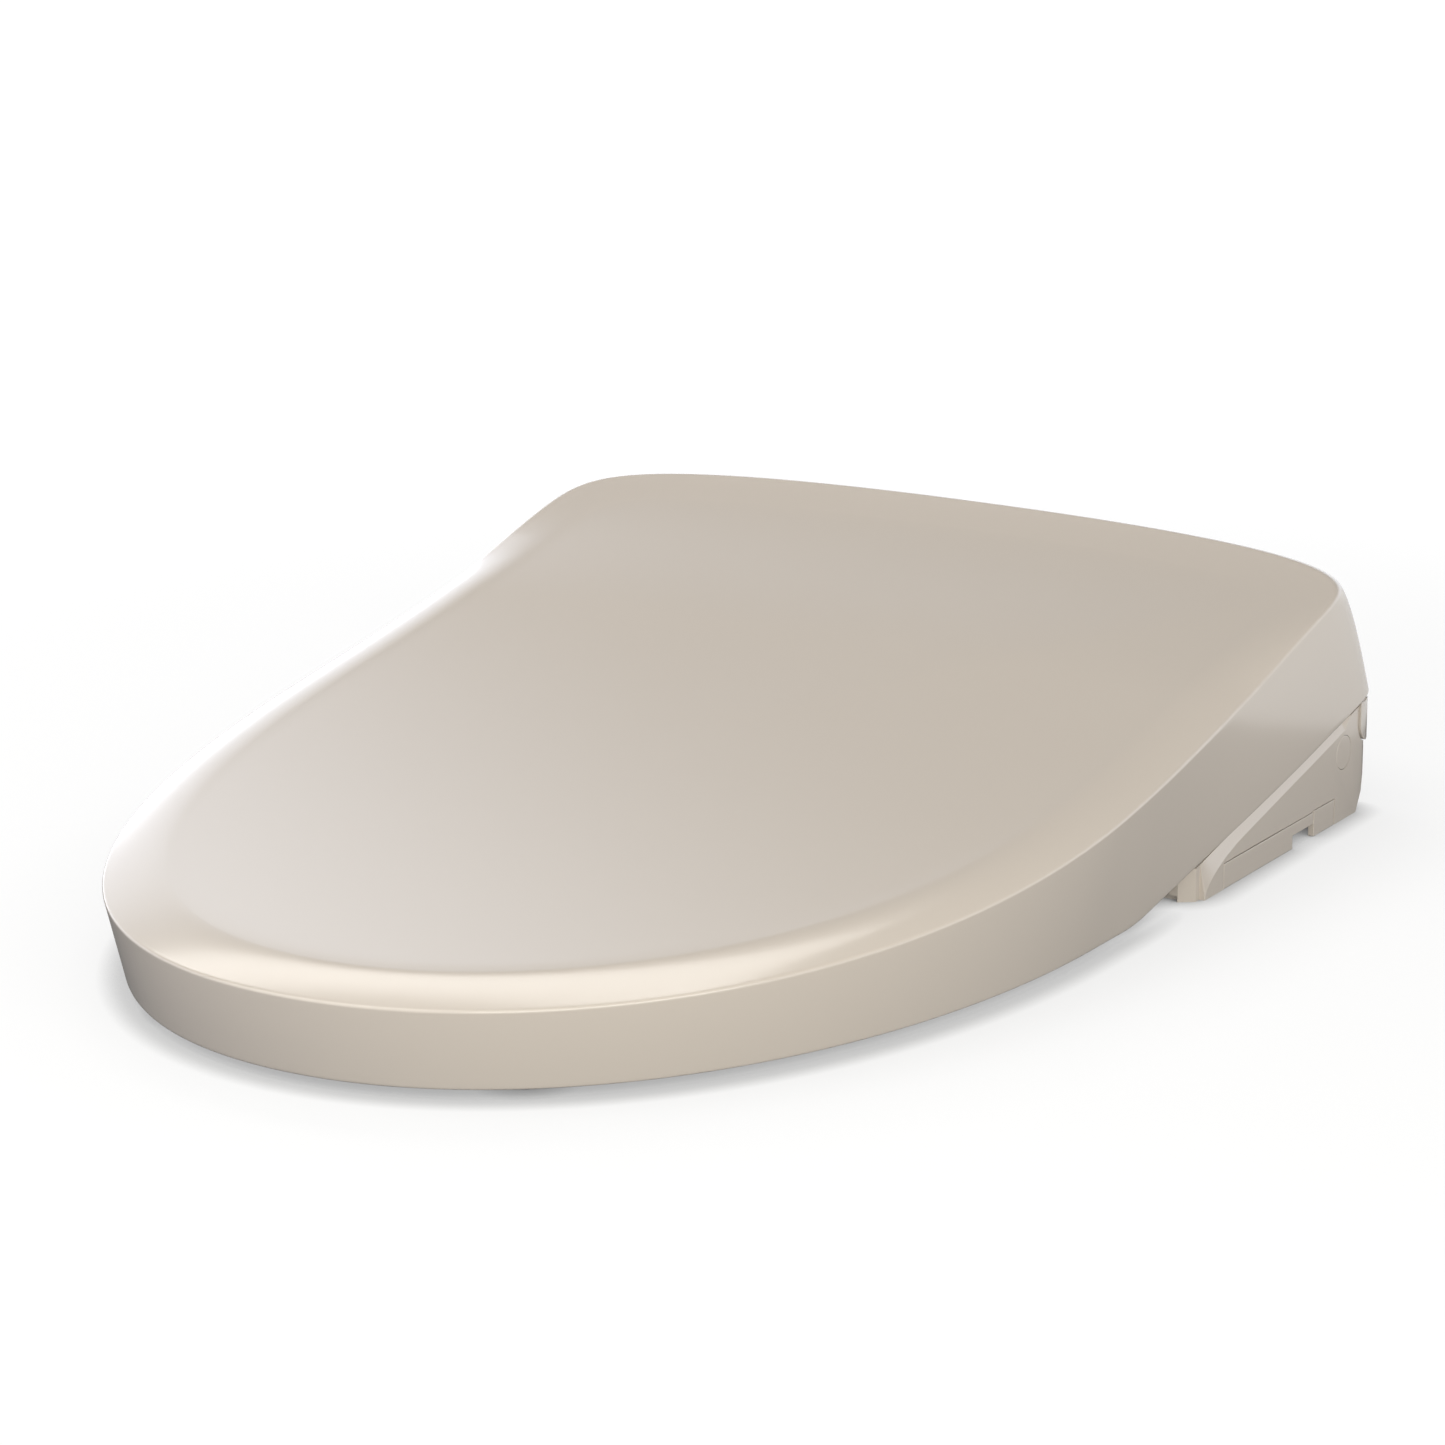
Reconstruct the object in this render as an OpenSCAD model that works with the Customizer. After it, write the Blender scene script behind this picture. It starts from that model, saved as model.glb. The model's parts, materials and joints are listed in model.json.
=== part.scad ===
// Electric bidet seat: a soft-close lid and a heated seat share one hinge line at the rear of a
// casing that holds the wash nozzle, water heater, warm-air dryer and deodorizer.
// Millimetres. Origin: midway between the two mounting slots, on the plane of the toilet's rim.
// +X is to the right seen from the front, +Y to the rear, +Z up.

/* [Lid] */
// Widest distance across the lid's top edge
lid_w = 380; // [372:1:400]
// Distance across the top edge where the rear corners start
lid_rear_w = 373; // [366:1:392]
// Bolt line to the front tip of the top edge
lid_tip = 475; // [462:1:490]
// Bolt line back to the top edge's rear
lid_back = 41; // [39:0.5:43]
// Bolt line back to the skirt's lower rear edge
skirt_back = 56; // [55:0.5:58]
// Height of the top edge at the front tip
lid_front_z = 35.2; // [34:0.2:40]
// Rise of the top edge from the tip to the rear
lid_rise = 76; // [74:0.5:82]
// Wall thickness of the lid
lid_wall = 3; // [2.2:0.1:3.6]
// Width of the rolled margin inside the top edge
lid_roll_w = 25; // [18:1:32]
// Height of the rolled margin
lid_roll_h = 6; // [5:0.5:8]
// Crown of the lid's middle over its margin
lid_crown = 3; // [1:0.5:5]
// Gap between the skirt's lower edge and the toilet's rim
skirt_gap = 4; // [3:0.5:6]
// How far the skirt leans in at the front
skirt_tuck_front = 7; // [4:0.5:9]
// How far the skirt leans in at the sides
skirt_tuck_side = 9.5; // [6:0.5:10]

/* [Seat] */
// Gap between the seat's outer edge and the lid's wall
seat_gap = 4; // [3:0.5:6]
// Height of the rubber bumpers under the seat
bumper_h = 9; // [8:0.5:11]
// Wall thickness of the seat's upper shell
seat_wall = 3; // [2.4:0.1:3.4]
// Width of the seat's opening
hole_w = 210; // [190:1:220]
// Bolt line to the front tip of the opening
hole_tip = 405; // [390:1:412]
// Bolt line to the rear of the opening
hole_back = 152; // [148:1:158]
// Gap between the seat's crown and the lid's top edge level
seat_drop = 2; // [1.5:0.5:4]
// Width of one seat arm
arm_t = 18; // [14:0.5:20]

/* [Base] */
// Bolt line to the front of the casing
case_front = 118; // [114:0.5:119]
// Wall thickness of casing, tray and side covers
case_wall = 2.5; // [2:0.1:3]
// Running gap beside each seat arm
arm_gap = 4; // [3:0.5:5]
// Width of one side cover
side_t = 11.8; // [11:0.1:13]
// Step from the lid's skirt in to the side cover's face
side_reveal = 1.2; // [0.6:0.1:2]
// Gap between the lid and the casing beneath it
case_gap = 6; // [5:0.5:9]
// Height of the tray's rim, where the casing cover starts
tray_h = 14; // [13:0.5:16]

/* [Hinge] */
// Bolt line to the hinge line
hinge_y = 41; // [40:0.5:42]
// Height of the hinge line
hinge_z = 38; // [37:0.5:39]
// Radius of the hinge shafts
shaft_r = 4; // [3.2:0.1:4.4]
// Radial running clearance of a shaft
run_fit = 0.06; // [0.04:0.01:0.09]
// Radius of the seat arm's eye
eye_r = 8; // [7:0.5:9]
// Radius of the lid's hinge lug
lug_r = 9; // [8:0.5:9.5]

/* [Mounting bracket] */
// Distance between the two mounting slots
bolt_spacing = 140; // [130:1:160]
// Width of a mounting slot
slot_w = 11; // [10:0.5:13]
// End-to-end length of a mounting slot
slot_len = 31; // [24:1:36]
// Thickness of the bracket
bracket_t = 5; // [4:0.5:5.5]

/* [Wash nozzle] */
// Radius of the nozzle wand
wand_r = 5; // [4:0.5:6]
// Length of the nozzle wand
wand_len = 118; // [105:1:122]
// Downward slope of the wand in degrees
wand_slope = 10; // [8:0.5:12]
// Teeth of the drive pinion
pinion_teeth = 12; // [10:1:14]
// Gear module of pinion and rack
gear_module = 1; // [0.8:0.05:1.1]

/* [Warm-air dryer and deodorizer] */
// Radius of the dryer's blower housing
blower_r = 23; // [20:0.5:24]
// Height of the dryer's blower housing
blower_h = 26; // [22:0.5:28]
// Width of the dryer's outlet
outlet_w = 22; // [18:0.5:24]
// Radius of the deodorizer's fan
fan_r = 15; // [12:0.5:17]
// Height of the filter drawer's front
drawer_h = 10.4; // [10:0.2:11]
// Length of the filter drawer's front
drawer_len = 82.9; // [76:0.1:84]

/* [Water] */
// Radius of the threaded water inlet (half-inch pipe thread)
inlet_r = 10.48; // [9.5:0.02:10.6]
// Height of the water heater
heater_h = 42; // [34:1:46]
// Width of the water valves, which stand beside the bracket
valve_w = 24; // [22:0.5:26]

/* [Buttons] */
// Radius of a control button
button_r = 4; // [3:0.25:4.5]
// Radius of the round screw cap on a side cover
cap_r = 7; // [6:0.25:7.5]

/* [Hidden] */

$fn = 48;
eps = 0.02;                             // overlap that keeps a cut clean
shell = "#cdc4b9";
inner = "#bfb7ac";
dark = "#55565a";
metal = "#b9bcc0";

// Sampling of the lid's and seat's outlines, per half: nose, side and rear corner
nose_n = 16;
side_n = 5;
tail_n = 13;

lid_widest_y = -192;                    // station of the widest point of the top edge
corner_y = -58;                         // where the top edge's rear corner starts
skirt_widest_y = -197;
skirt_corner_y = -10;
skirt_rear_w = lid_rear_w - 3;
nose_pow = 2.05;                        // roundness of the nose; 2 is an ellipse
lid_len = lid_tip + skirt_back;
seam_slope = 0.217;                     // climb of the skirt's lower edge over the casing
seam_start = -165;
seam_ease = 10;

base_half = skirt_rear_w/2 - side_reveal;
side_in = base_half - side_t;           // inner face of a side cover
seat_tail_in = 18;                      // the seat's rear corners, in from the lid's widest point
seat_tail = lid_w/2 - seat_tail_in;
arm_x = min(side_in, seat_tail) - arm_gap - arm_t;  // inner face of a seat arm
case_half = arm_x - arm_gap;
case_back = 51.5;                       // rear face of the casing, inside the lid's skirt
case_foot_y = 31.5;                     // the rear face slopes forward to this at the rim
case_knee_z = 27;
over_case = lid_front_z + lid_rise;      // higher than any point of the casing
lug_gap = 0.4;
lug_in = base_half - 5.5;               // inner face of the lid's hinge lug
lug_bite = 2;                           // how far a shaft's end sits in a lug
seat_back = case_front + 6;

bracket_front = 42;
bracket_fit = 0.3;
pan_t = case_wall;
pan_z = bracket_t + bracket_fit + pan_t;  // top of the raised floor over the bracket
beside_pan = 1.2;                       // gap from the raised floor to what stands beside it
valve_x = 12 - case_half;
pan_half = -valve_x - valve_w - beside_pan;  // the raised floor fills the room beside the valves
bracket_w = 2*(pan_half - pan_t - bracket_fit);
pan_front = bracket_front + bracket_fit + pan_t;

groove = 0.5;                           // visible joint between two outer pieces
strip_back = -10.5;                     // rear end of the side strips
strip_front = strip_back - drawer_len;
release_len = 19.5;
release_h = drawer_h + 0.4;
notch_len = 19.5;                       // finger notch at the rear of the drawer's front
notch_deep = 8;
notch_h = 5.5;
latch_travel = 5.5;
latch_x = bracket_w/2 - 11;             // inner end of the latch's tooth
latch_z = pan_z - pan_t + 0.3;          // underside of the latch's bar

inlet_y = -24;                          // water inlet, on the left side
inlet_z = tray_h;
inlet_room = 4;                         // finger room round the inlet in the side cover
spigot_r = inlet_r - 2;                 // the inlet where it passes through the casing
left_strip_back = inlet_y - inlet_r - inlet_room - 3.5;
button_z = 14;
button_pitch = 10;
button_ys = [for (k = [0:2]) inlet_y + inlet_r + 10 + button_pitch*k];
cap_y = 17.5;
cap_z = 28.9;
rail_gap = 0.25;

// ---- Curves shared by the lid, the seat and the casing ----

function mix(a, b, t) = a + (b - a)*t;
function soft(t) = let (u = min(1, max(0, t))) u*u*(3 - 2*u);

// Right half of a closed outline, front tip first: an elliptic nose, a nearly straight side and
// a squared rear. Every length is reduced by the inset i.
function half_outline(w, widest, tip, rear_w, corner, back, bow, square, i) = concat(
    [for (k = [0:nose_n]) let (a = 90 - 90*k/nose_n)
        [(w/2 - i)*pow(cos(a), 2/nose_pow),
         widest - (widest + tip - i)*pow(sin(a), 2/nose_pow)]],
    [for (k = [1:side_n - 1]) let (u = k/side_n)
        [mix(w/2, rear_w/2, soft(u)) - i, mix(widest, corner, u)]],
    [for (k = [0:tail_n]) let (f = 1 - pow(k/tail_n, 3))
        [(rear_w/2 - i)*f, corner + (back - corner - i)*pow(1 - pow(f, bow), 1/square)]]);

// The whole outline, counterclockwise seen from above
function closed(h) = concat(h, [for (k = [len(h) - 2:-1:1]) [-h[k][0], h[k][1]]]);

function edge_line(i) = closed(half_outline(
    lid_w, lid_widest_y, lid_tip, lid_rear_w, corner_y, lid_back, 2.2, 8, i));
function skirt_line(i) = closed(half_outline(
    lid_w - 2*skirt_tuck_side, skirt_widest_y, lid_tip - skirt_tuck_front, skirt_rear_w,
    skirt_corner_y, skirt_back, 6, 12, i));
function seat_line(i) = closed(half_outline(
    lid_w - 2*(skirt_tuck_side + lid_wall + seat_gap), skirt_widest_y,
    lid_tip - skirt_tuck_front - lid_wall - seat_gap,
    2*seat_tail, -seat_back - 46, -seat_back, 14, 4, i));
function hole_line(i) = closed(half_outline(
    hole_w, -280, hole_tip, hole_w - 8, -235, -hole_back, 2.4, 2.3, i));

// Height of the lid's top edge, of its skirt's lower edge and of the rolled margin
function edge_z(y) = lid_front_z + lid_rise*pow(max(0, y + lid_tip)/lid_len, 2.1);
function ramp(u) = u <= 0 ? 0 : u < 2 ? u*u/4 : u - 1;
function skirt_z(y) = skirt_gap
    + seam_slope*seam_ease*ramp((y - seam_start + seam_ease)/seam_ease);
function roll(i) = lid_roll_h*(1 - pow(1 - min(1, i/lid_roll_w), 2));
function under_lid(y) = edge_z(y) + lid_roll_h - lid_wall - case_gap;

// ---- Shared modules ----

// Closed skin over loops of equal length, each quad split along its shorter diagonal. Ends are
// fans to two centre points, or the last loop joins the first when centres is empty.
module skin(loops, centres = []) {
    n = len(loops[0]);
    m = len(loops);
    points = concat([for (l = loops) each l], centres);
    walls = [for (j = [0:(len(centres) == 0 ? m - 1 : m - 2)], k = [0:n - 1])
        let (a = j*n + k, b = j*n + (k + 1)%n, c = (j + 1)%m*n + (k + 1)%n, d = (j + 1)%m*n + k)
        each norm(points[a] - points[c]) <= norm(points[b] - points[d])
            ? [[a, b, c], [a, c, d]] : [[a, b, d], [b, c, d]]];
    caps = len(centres) == 0 ? [] : [for (k = [0:n - 1])
        let (q = (k + 1)%n, last = (m - 1)*n)
        each [[m*n, q, k], [m*n + 1, last + k, last + q]]];
    polyhedron(points, concat(walls, caps), convexity = 8);
}

// Extrudes a (y, z) profile along X
module along_x(x0, x1) {
    translate([x0, 0, 0]) rotate([90, 0, 90]) linear_extrude(x1 - x0) children();
}

module rod_x(y, z, r, x0, x1) {
    translate([x0, y, z]) rotate([0, 90, 0]) cylinder(r = r, h = x1 - x0);
}

module block(x0, x1, y0, y1, z0, z1) {
    translate([x0, y0, z0]) cube([x1 - x0, y1 - y0, z1 - z0]);
}

module left_right() {
    children();
    mirror([1, 0, 0]) children();
}

// Side profile of the casing, inset by i: [y, z, inward y, inward z] for each corner
module case_profile(i) {
    corners = [
        [-case_front, -1, 1, 0],
        [-case_front, under_lid(-case_front) - 8, 1, -0.5],
        [8 - case_front, under_lid(8 - case_front), 0.5, -1],
        [-60, under_lid(-60), 0, -1],
        [-15, under_lid(-15), 0, -1],
        [15, under_lid(15) - 1, 0, -1],
        [32, under_lid(15) - 5, -0.5, -1],
        [38.5, under_lid(15) - 12, -1, -0.5],
        [43.5, under_lid(15) - 22, -1, -0.3],
        [48, 60, -1, 0],
        [case_back, 48, -1, 0],
        [case_back, case_knee_z, -1, 0],
        [case_foot_y, 0, -1.2, 0],
        [case_foot_y - 0.8, -1, -1.2, 0]];
    polygon([for (c = corners) [c[0] + i*c[2], c[1] + i*c[3]]]);
}

// Front profile and plan of the casing
module case_face(i) {
    half = [[case_half, -1], [case_half, 52], [case_half - 12, 72], [case_half - 34, 104]];
    polygon(concat([for (p = half) [p[0] - i, p[1]]],
                   [for (k = [3:-1:0]) [i - half[k][0], half[k][1]]]));
}

module case_plan(i) {
    half = [[case_half - i - 8, i - case_front], [case_half - i, i - case_front + 6],
            [case_half - i, case_back - i - 2], [case_half - i - 2, case_back - i]];
    polygon(concat(half, [for (k = [3:-1:0]) [-half[k][0], half[k][1]]]));
}

// Plan of both side covers together: chamfered at the front, rounded at the rear
module cover_plan(i) {
    outline = half_outline(2*base_half, -60, case_front, 2*base_half, 0, case_back + 1.5, 8, 10, i);
    half = concat([[base_half - i - 8, i - case_front], [base_half - i, i - case_front + 6]],
                  [for (p = outline) if (p[1] >= 0) p]);
    polygon(concat(half, [for (k = [len(half) - 2:-1:0]) [-half[k][0], half[k][1]]]));
}

// Solid body of the casing from z0 to z1, with every wall moved in by i
module case_body(i, z0, z1) {
    intersection() {
        along_x(-case_half, case_half) case_profile(i);
        translate([0, 100, 0]) rotate([90, 0, 0]) linear_extrude(240) case_face(i);
        translate([0, 0, z0]) linear_extrude(z1 - z0) case_plan(i);
    }
}

// ---- Base ----

drawer_y0 = strip_front + 7;            // the drawer behind its front
drawer_y1 = drawer_y0 + 46;
drawer_x = pan_half + beside_pan;       // inner end of the drawer
filter_w = case_half - 8 - drawer_x;    // the filter ends inside the casing's wall
filter_cell = (filter_w - 2)/4;
duct_x = 30;                            // left side of the dryer's outlet
duct_z0 = 5;
duct_z1 = 23;
post_places = [[case_half - 10, 14 - case_front], [case_half - 18, 26]];
side_screw_places = [[side_in + 5, 16 - case_front], [side_in + 5, 24]];
foot_places = [[case_half + 13, -92], [case_half + 13, 8]];
foot_r = 7;
cord_x = 116;
cord_z = 14;
cord_r = 6;
lens_w = 46;

module at(places) {
    for (p = places) translate([p[0], p[1], 0]) children();
}

module nozzle_port() {
    block(-wand_r - 5, wand_r + 5, -case_front - 1, 1 + case_wall - case_front, 9,
          wand_z + rack_top + 2);
}

module duct_port() {
    block(duct_x, duct_x + outlet_w, -case_front - 1, 1 + case_wall - case_front,
          duct_z0, duct_z1);
}

module inlet_hole() {
    mirror([1, 0, 0]) rod_x(inlet_y, inlet_z, spigot_r, case_half - 5, case_half + 1);
}

module cord_hole() {
    translate([cord_x, 0, cord_z]) rotate([-90, 0, 0]) cylinder(r = cord_r, h = 80);
}

module tray_wing(fit) intersection() {
    linear_extrude(case_wall) cover_plan(case_wall + groove - fit);
    along_x(-base_half, base_half) side_profile(case_wall - fit);
}

module base_tray() color(inner) difference() {
    union() {
        case_body(0, 0, tray_h);
        tray_wing(0);
    }
    difference() {
        case_body(case_wall, case_wall, tray_h + 1);
        block(-pan_half, pan_half, -pan_front, case_back, 0, pan_z);
        left_right() at(post_places) cylinder(r = 6, h = bracket_t);
    }
    // recess that takes the bracket, open to the rear
    block(-bracket_w/2 - bracket_fit, bracket_w/2 + bracket_fit,
          -bracket_front - bracket_fit, case_back + 5, -1, bracket_t + bracket_fit);
    // opening of the finger notch through the wing
    block(base_half - notch_deep, base_half, strip_back - notch_len, strip_back, -1, case_wall + 1);
    // guide slot of the release latch, and room for the release button's travel
    block(latch_x - latch_travel - 1, side_in + 12, -4, 4, pan_z - pan_t - eps, latch_z + 4);
    block(side_in + 3, base_half, strip_back, strip_back + release_len + 2*groove, -1, 5);
    nozzle_port();
    duct_port();
    block(case_half - 5, case_half + 1, drawer_y0 - 0.5, drawer_y1 + 0.5,
          case_wall, drawer_h + 0.6);
    inlet_hole();
    cord_hole();
    left_right() {
        at(post_places) translate([0, 0, -1]) {
            cylinder(r = 2, h = 10);
            cylinder(r = 3.9, h = 3.5);
        }
        at(foot_places) translate([0, 0, -1]) cylinder(r = foot_r, h = 2.2);
        at(side_screw_places) translate([0, 0, -1]) {
            cylinder(r = 1.7, h = 5);
            cylinder(r = 3, h = 2.5);
        }
    }
}

module case_cover() color(shell) difference() {
    union() {
        difference() {
            case_body(0, tray_h, over_case);
            case_body(case_wall, tray_h - 1, over_case);
        }
        intersection() {
            case_body(1, bracket_t, over_case);
            left_right() at(post_places) cylinder(r = 5, h = over_case);
        }
    }
    left_right() {
        at(post_places) cylinder(r = 1.6, h = 20);
        rod_x(hinge_y, hinge_z, shaft_r + 0.3, case_half - 6, case_half + 1);
    }
    nozzle_port();
    duct_port();
    rod_x(flap_pin_y, flap_pin_z, flap_pin_r + run_fit, duct_x - 1.6, duct_x + outlet_w + 1.6);
    inlet_hole();
    cord_hole();
    lens_block(lens_w + 0.2, 1);
}

// The indicator lens lies flush in the sloping deck
module lens_block(w, over) {
    deck_y = -60;
    slope = atan2(under_lid(deck_y) - under_lid(8 - case_front), case_front - 8 + deck_y);
    translate([-70, deck_y, under_lid(deck_y)]) rotate([slope, 0, 0])
        block(-w/2, w/2, -22, -8, -case_wall - over, over);
}

module indicator_lens() color("#3a3d42") intersection() {
    lens_block(lens_w, 0);
    case_body(0, tray_h, over_case);
}

// Side cover: upright outer face below an arris, above which the face leans in to the seam. The
// arris keeps its distance below the seam, and its front end turns down to the rim.
seam_drop = 1.5;
bevel_in = 2.3;                         // how far the face leans in at the seam
arris_drop = 5.7;                       // from the lid's lower edge down to the arris
arris_run = 34;                         // length of the turn at the front end
arris_front = 7.5 - case_front;
arris_back = 18;
arris_dip = skirt_z(arris_front) - arris_drop;
arris_ys = [for (k = [0:14]) mix(arris_front, arris_back, pow(k/14, 1.8))];
function arris_z(y) = let (turn = max(0, 1 - (y - arris_front)/arris_run))
    skirt_z(y) - arris_drop - arris_dip*(1 - sqrt(1 - turn*turn));
function cover_top(y) = skirt_z(y) - seam_drop;

module side_profile(i) {
    polygon([
        [i - case_front, i - case_wall - 1], [i - case_front, cover_top(-case_front) - i],
        [case_back - i, cover_top(case_back) - i], [case_back - i, case_knee_z],
        [case_foot_y - i, 0], [case_foot_y - i - 0.8, -1]]);
}

module arris_profile(i) {
    rear_y = arris_back + 6;
    polygon(concat([[arris_front, -2 - i]], [for (y = arris_ys) [y, arris_z(y) - i]],
                   [[rear_y, cover_top(rear_y) - i], [case_back - i, cover_top(case_back) - i],
                    [case_back - i, -2 - i]]));
}

module leaning_face() {
    x0 = base_half - case_wall - bevel_in;
    rear_y = arris_back + 6;
    loops = [for (y = concat(arris_ys, rear_y))
        let (low = y > arris_back ? cover_top(y) : arris_z(y), high = cover_top(y))
        [[x0, y, low - 2], [base_half, y, low], [base_half - bevel_in, y, high],
         [x0, y, high]]];
    skin(loops, [[x0 + 1, arris_front, arris_z(arris_front) + 1],
                 [x0 + 1, rear_y, cover_top(rear_y) - 1]]);
}

module side_cover() difference() {
    intersection() {
        union() {
            along_x(side_in, base_half - bevel_in) side_profile(0);
            intersection() {
                along_x(side_in, base_half) side_profile(0);
                along_x(side_in, base_half) arris_profile(0);
            }
            leaning_face();
        }
        linear_extrude(80) cover_plan(0);
    }
    // hollow inside and open below, with a boss round the hinge line and every screw
    difference() {
        intersection() {
            union() {
                along_x(side_in + case_wall, base_half - case_wall - bevel_in)
                    side_profile(case_wall);
                intersection() {
                    along_x(side_in + case_wall, base_half - case_wall) side_profile(case_wall);
                    along_x(side_in + case_wall, base_half - case_wall) arris_profile(case_wall);
                }
            }
            translate([0, 0, -2]) linear_extrude(80) cover_plan(case_wall);
        }
        rod_x(hinge_y, hinge_z, eye_r, side_in, base_half);
        block(side_in, lug_in, hinge_y - eye_r, case_back + 5, hinge_z, 80);
        at(side_screw_places) translate([0, 0, case_wall]) cylinder(r = 4, h = 60);
        rod_x(cap_y, cap_z, cap_r + 2, side_in, base_half);
    }
    at(side_screw_places) translate([0, 0, -1]) cylinder(r = 1.4, h = 14);
    tray_wing(0.3);
    block(side_in - 1, side_in + case_wall + 1, -case_front - 1, case_foot_y, -1, case_wall);
    // recess of the lid's hinge lug, and room behind the hinge line for the lid's swing
    rod_x(hinge_y, hinge_z, lug_r + 0.6, lug_in - lug_gap, base_half + 1);
    block(lug_in - lug_gap, base_half + 1, hinge_y - lug_r - 0.6, case_back + 5, hinge_z, 80);
    block(lug_in - lug_gap, base_half + 1, hinge_y, case_back + 5, hinge_z - 12, 80);
    difference() {
        block(side_in - 1, base_half, hinge_y, case_back + 5, hinge_z - 9, 80);
        rod_x(hinge_y, hinge_z, lug_r + 1.5, side_in - 2, base_half + 1);
    }
    // seat of the round cap over its screw
    rod_x(cap_y, cap_z, cap_r + 0.2, base_half - 2, base_half + 1);
    rod_x(cap_y, cap_z, 3, base_half - 3.6, base_half);
    rod_x(cap_y, cap_z, 1.6, side_in + 2, base_half);
}

module side_cover_right() color(shell) difference() {
    side_cover();
    rod_x(hinge_y, hinge_z, shaft_r + run_fit, side_in - 1, base_half + 1);
    block(base_half - case_wall - 0.1, base_half + 1, strip_front - groove, strip_back + groove,
          -1, drawer_h + groove);
    block(base_half - case_wall - 0.1, base_half + 1, strip_back,
          strip_back + release_len + 2*groove, -1, release_h + groove);
    block(side_in - 1, base_half, drawer_y0 - 0.5, drawer_y1 + 0.5, case_wall - 1, drawer_h + 0.6);
    block(side_in - 1, base_half, -4, 4, case_wall - 1, latch_z + 4);
}

module side_cover_left() color(shell) mirror([1, 0, 0]) difference() {
    side_cover();
    rod_x(hinge_y, hinge_z, shaft_r, side_in - 1, base_half + 1);
    block(base_half - case_wall - 0.1, base_half + 1, strip_front - groove,
          left_strip_back + groove, -1, drawer_h + groove);
    rod_x(inlet_y, inlet_z, inlet_r + inlet_room, side_in - 1, base_half + 1);
    block(side_in - 1, base_half + 1, inlet_y - inlet_r - inlet_room,
          inlet_y + inlet_r + inlet_room, -1, inlet_z);
    for (y = button_ys)
        rod_x(y, button_z, button_r + 0.1, base_half - 4, base_half + 1);
}

// Fixed strip that matches the drawer's front, with two clips over the tray's wing
module side_strip_left() color(shell) mirror([1, 0, 0]) {
    block(base_half - case_wall, base_half, strip_front, left_strip_back, 0, drawer_h);
    for (y = [strip_front + 10, left_strip_back - 16])
        block(base_half - case_wall - 3, base_half - case_wall, y, y + 6, case_wall, case_wall + 2);
}

module screw_caps() color(shell) left_right()
    rod_x(cap_y, cap_z, cap_r, base_half - 2, base_half);

// Cross-head screw pointing up, head below
module screw(r, head_r, head_h, length) difference() {
    union() {
        cylinder(r = r, h = length);
        cylinder(r = head_r, h = head_h);
    }
    block(-0.5, 0.5, -head_r*0.7, head_r*0.7, -1, 0.8);
    block(-head_r*0.7, head_r*0.7, -0.5, 0.5, -1, 0.8);
}

module case_screws() color(metal) left_right() at(post_places)
    translate([0, 0, 0.4]) screw(1.6, 3.6, 2.1, 14);

module side_screws() color(metal) left_right() {
    at(side_screw_places) translate([0, 0, 0.2]) screw(1.4, 2.8, 1.3, 12);
    translate([base_half - 2, cap_y, cap_z]) rotate([0, -90, 0]) screw(1.6, 2.9, 1.5, 7.5);
}

module base_feet() color(dark) left_right() at(foot_places) cylinder(r = foot_r, h = 1.2);

module mounting_bracket() color(dark) difference() {
    block(-bracket_w/2, bracket_w/2, -bracket_front, 24, 0, bracket_t);
    left_right() translate([bolt_spacing/2, 0, 0]) {
        translate([0, 0, -1]) linear_extrude(bracket_t + 2) {
            square([slot_len - slot_w, slot_w], center = true);
            for (s = [-1, 1]) translate([s*(slot_len - slot_w)/2, 0]) circle(d = slot_w);
        }
        // sunk seat for the bolt's head and washer
        block(-slot_len/2 - 7, slot_len/2 + 7, -12, 12, bracket_t/2, bracket_t + 1);
    }
    // L-shaped catch of the release latch
    block(latch_x - 0.5, latch_x + latch_travel + 0.5, -4, 4, -1, bracket_t + 1);
    block(latch_x - latch_travel - 0.5, latch_x + eps, -bracket_front - 1, 4, -1, bracket_t + 1);
}

module release_button() color(shell) {
    block(base_half - case_wall, base_half, strip_back + groove,
          strip_back + groove + release_len, 0, release_h);
    block(latch_x, base_half - case_wall + eps, -3.6, 3.6, latch_z, latch_z + 3.2);
    block(latch_x, latch_x + 5, -3.6, 3.6, 1, latch_z + 1);
}

module filter_drawer() color(shell) difference() {
    union() {
        block(base_half - case_wall, base_half, strip_front, strip_back, 0, drawer_h);
        block(drawer_x, base_half - case_wall + eps, drawer_y0, drawer_y1,
              case_wall + rail_gap, drawer_h);
    }
    // pocket of the filter, the air slots below it and an open box behind the front
    block(drawer_x + 2, drawer_x + 2 + filter_w, drawer_y0 + 2, drawer_y1 - 2,
          case_wall + 2, drawer_h + 1);
    for (k = [0:3]) translate([drawer_x + 4 + filter_cell*k, 0, 0])
        block(0, filter_cell - 3.5, drawer_y0 + 6, drawer_y1 - 6, 0, drawer_h);
    block(case_half + 2, base_half - 5, drawer_y0 + 2, drawer_y1 - 2, case_wall + 2, drawer_h + 1);
    // finger notch
    block(base_half - notch_deep, base_half + 1, strip_back - notch_len, strip_back + 1, -1,
          notch_h);
}

module deodorizer_filter() color("#2f3133") difference() {
    block(drawer_x + 2.2, drawer_x + 1.8 + filter_w, drawer_y0 + 2.2, drawer_y1 - 2.2,
          case_wall + 2, drawer_h - 0.4);
    for (j = [0:3], k = [0:5]) translate([drawer_x + 4 + filter_cell*j, 0, 0])
        block(0, filter_cell - 2.5, drawer_y0 + 5 + 6.3*k, drawer_y0 + 9 + 6.3*k, 0, drawer_h);
}

fan_x = case_half - 24;
fan_y = (drawer_y0 + drawer_y1)/2;
fan_z0 = drawer_h + 0.6;

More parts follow.
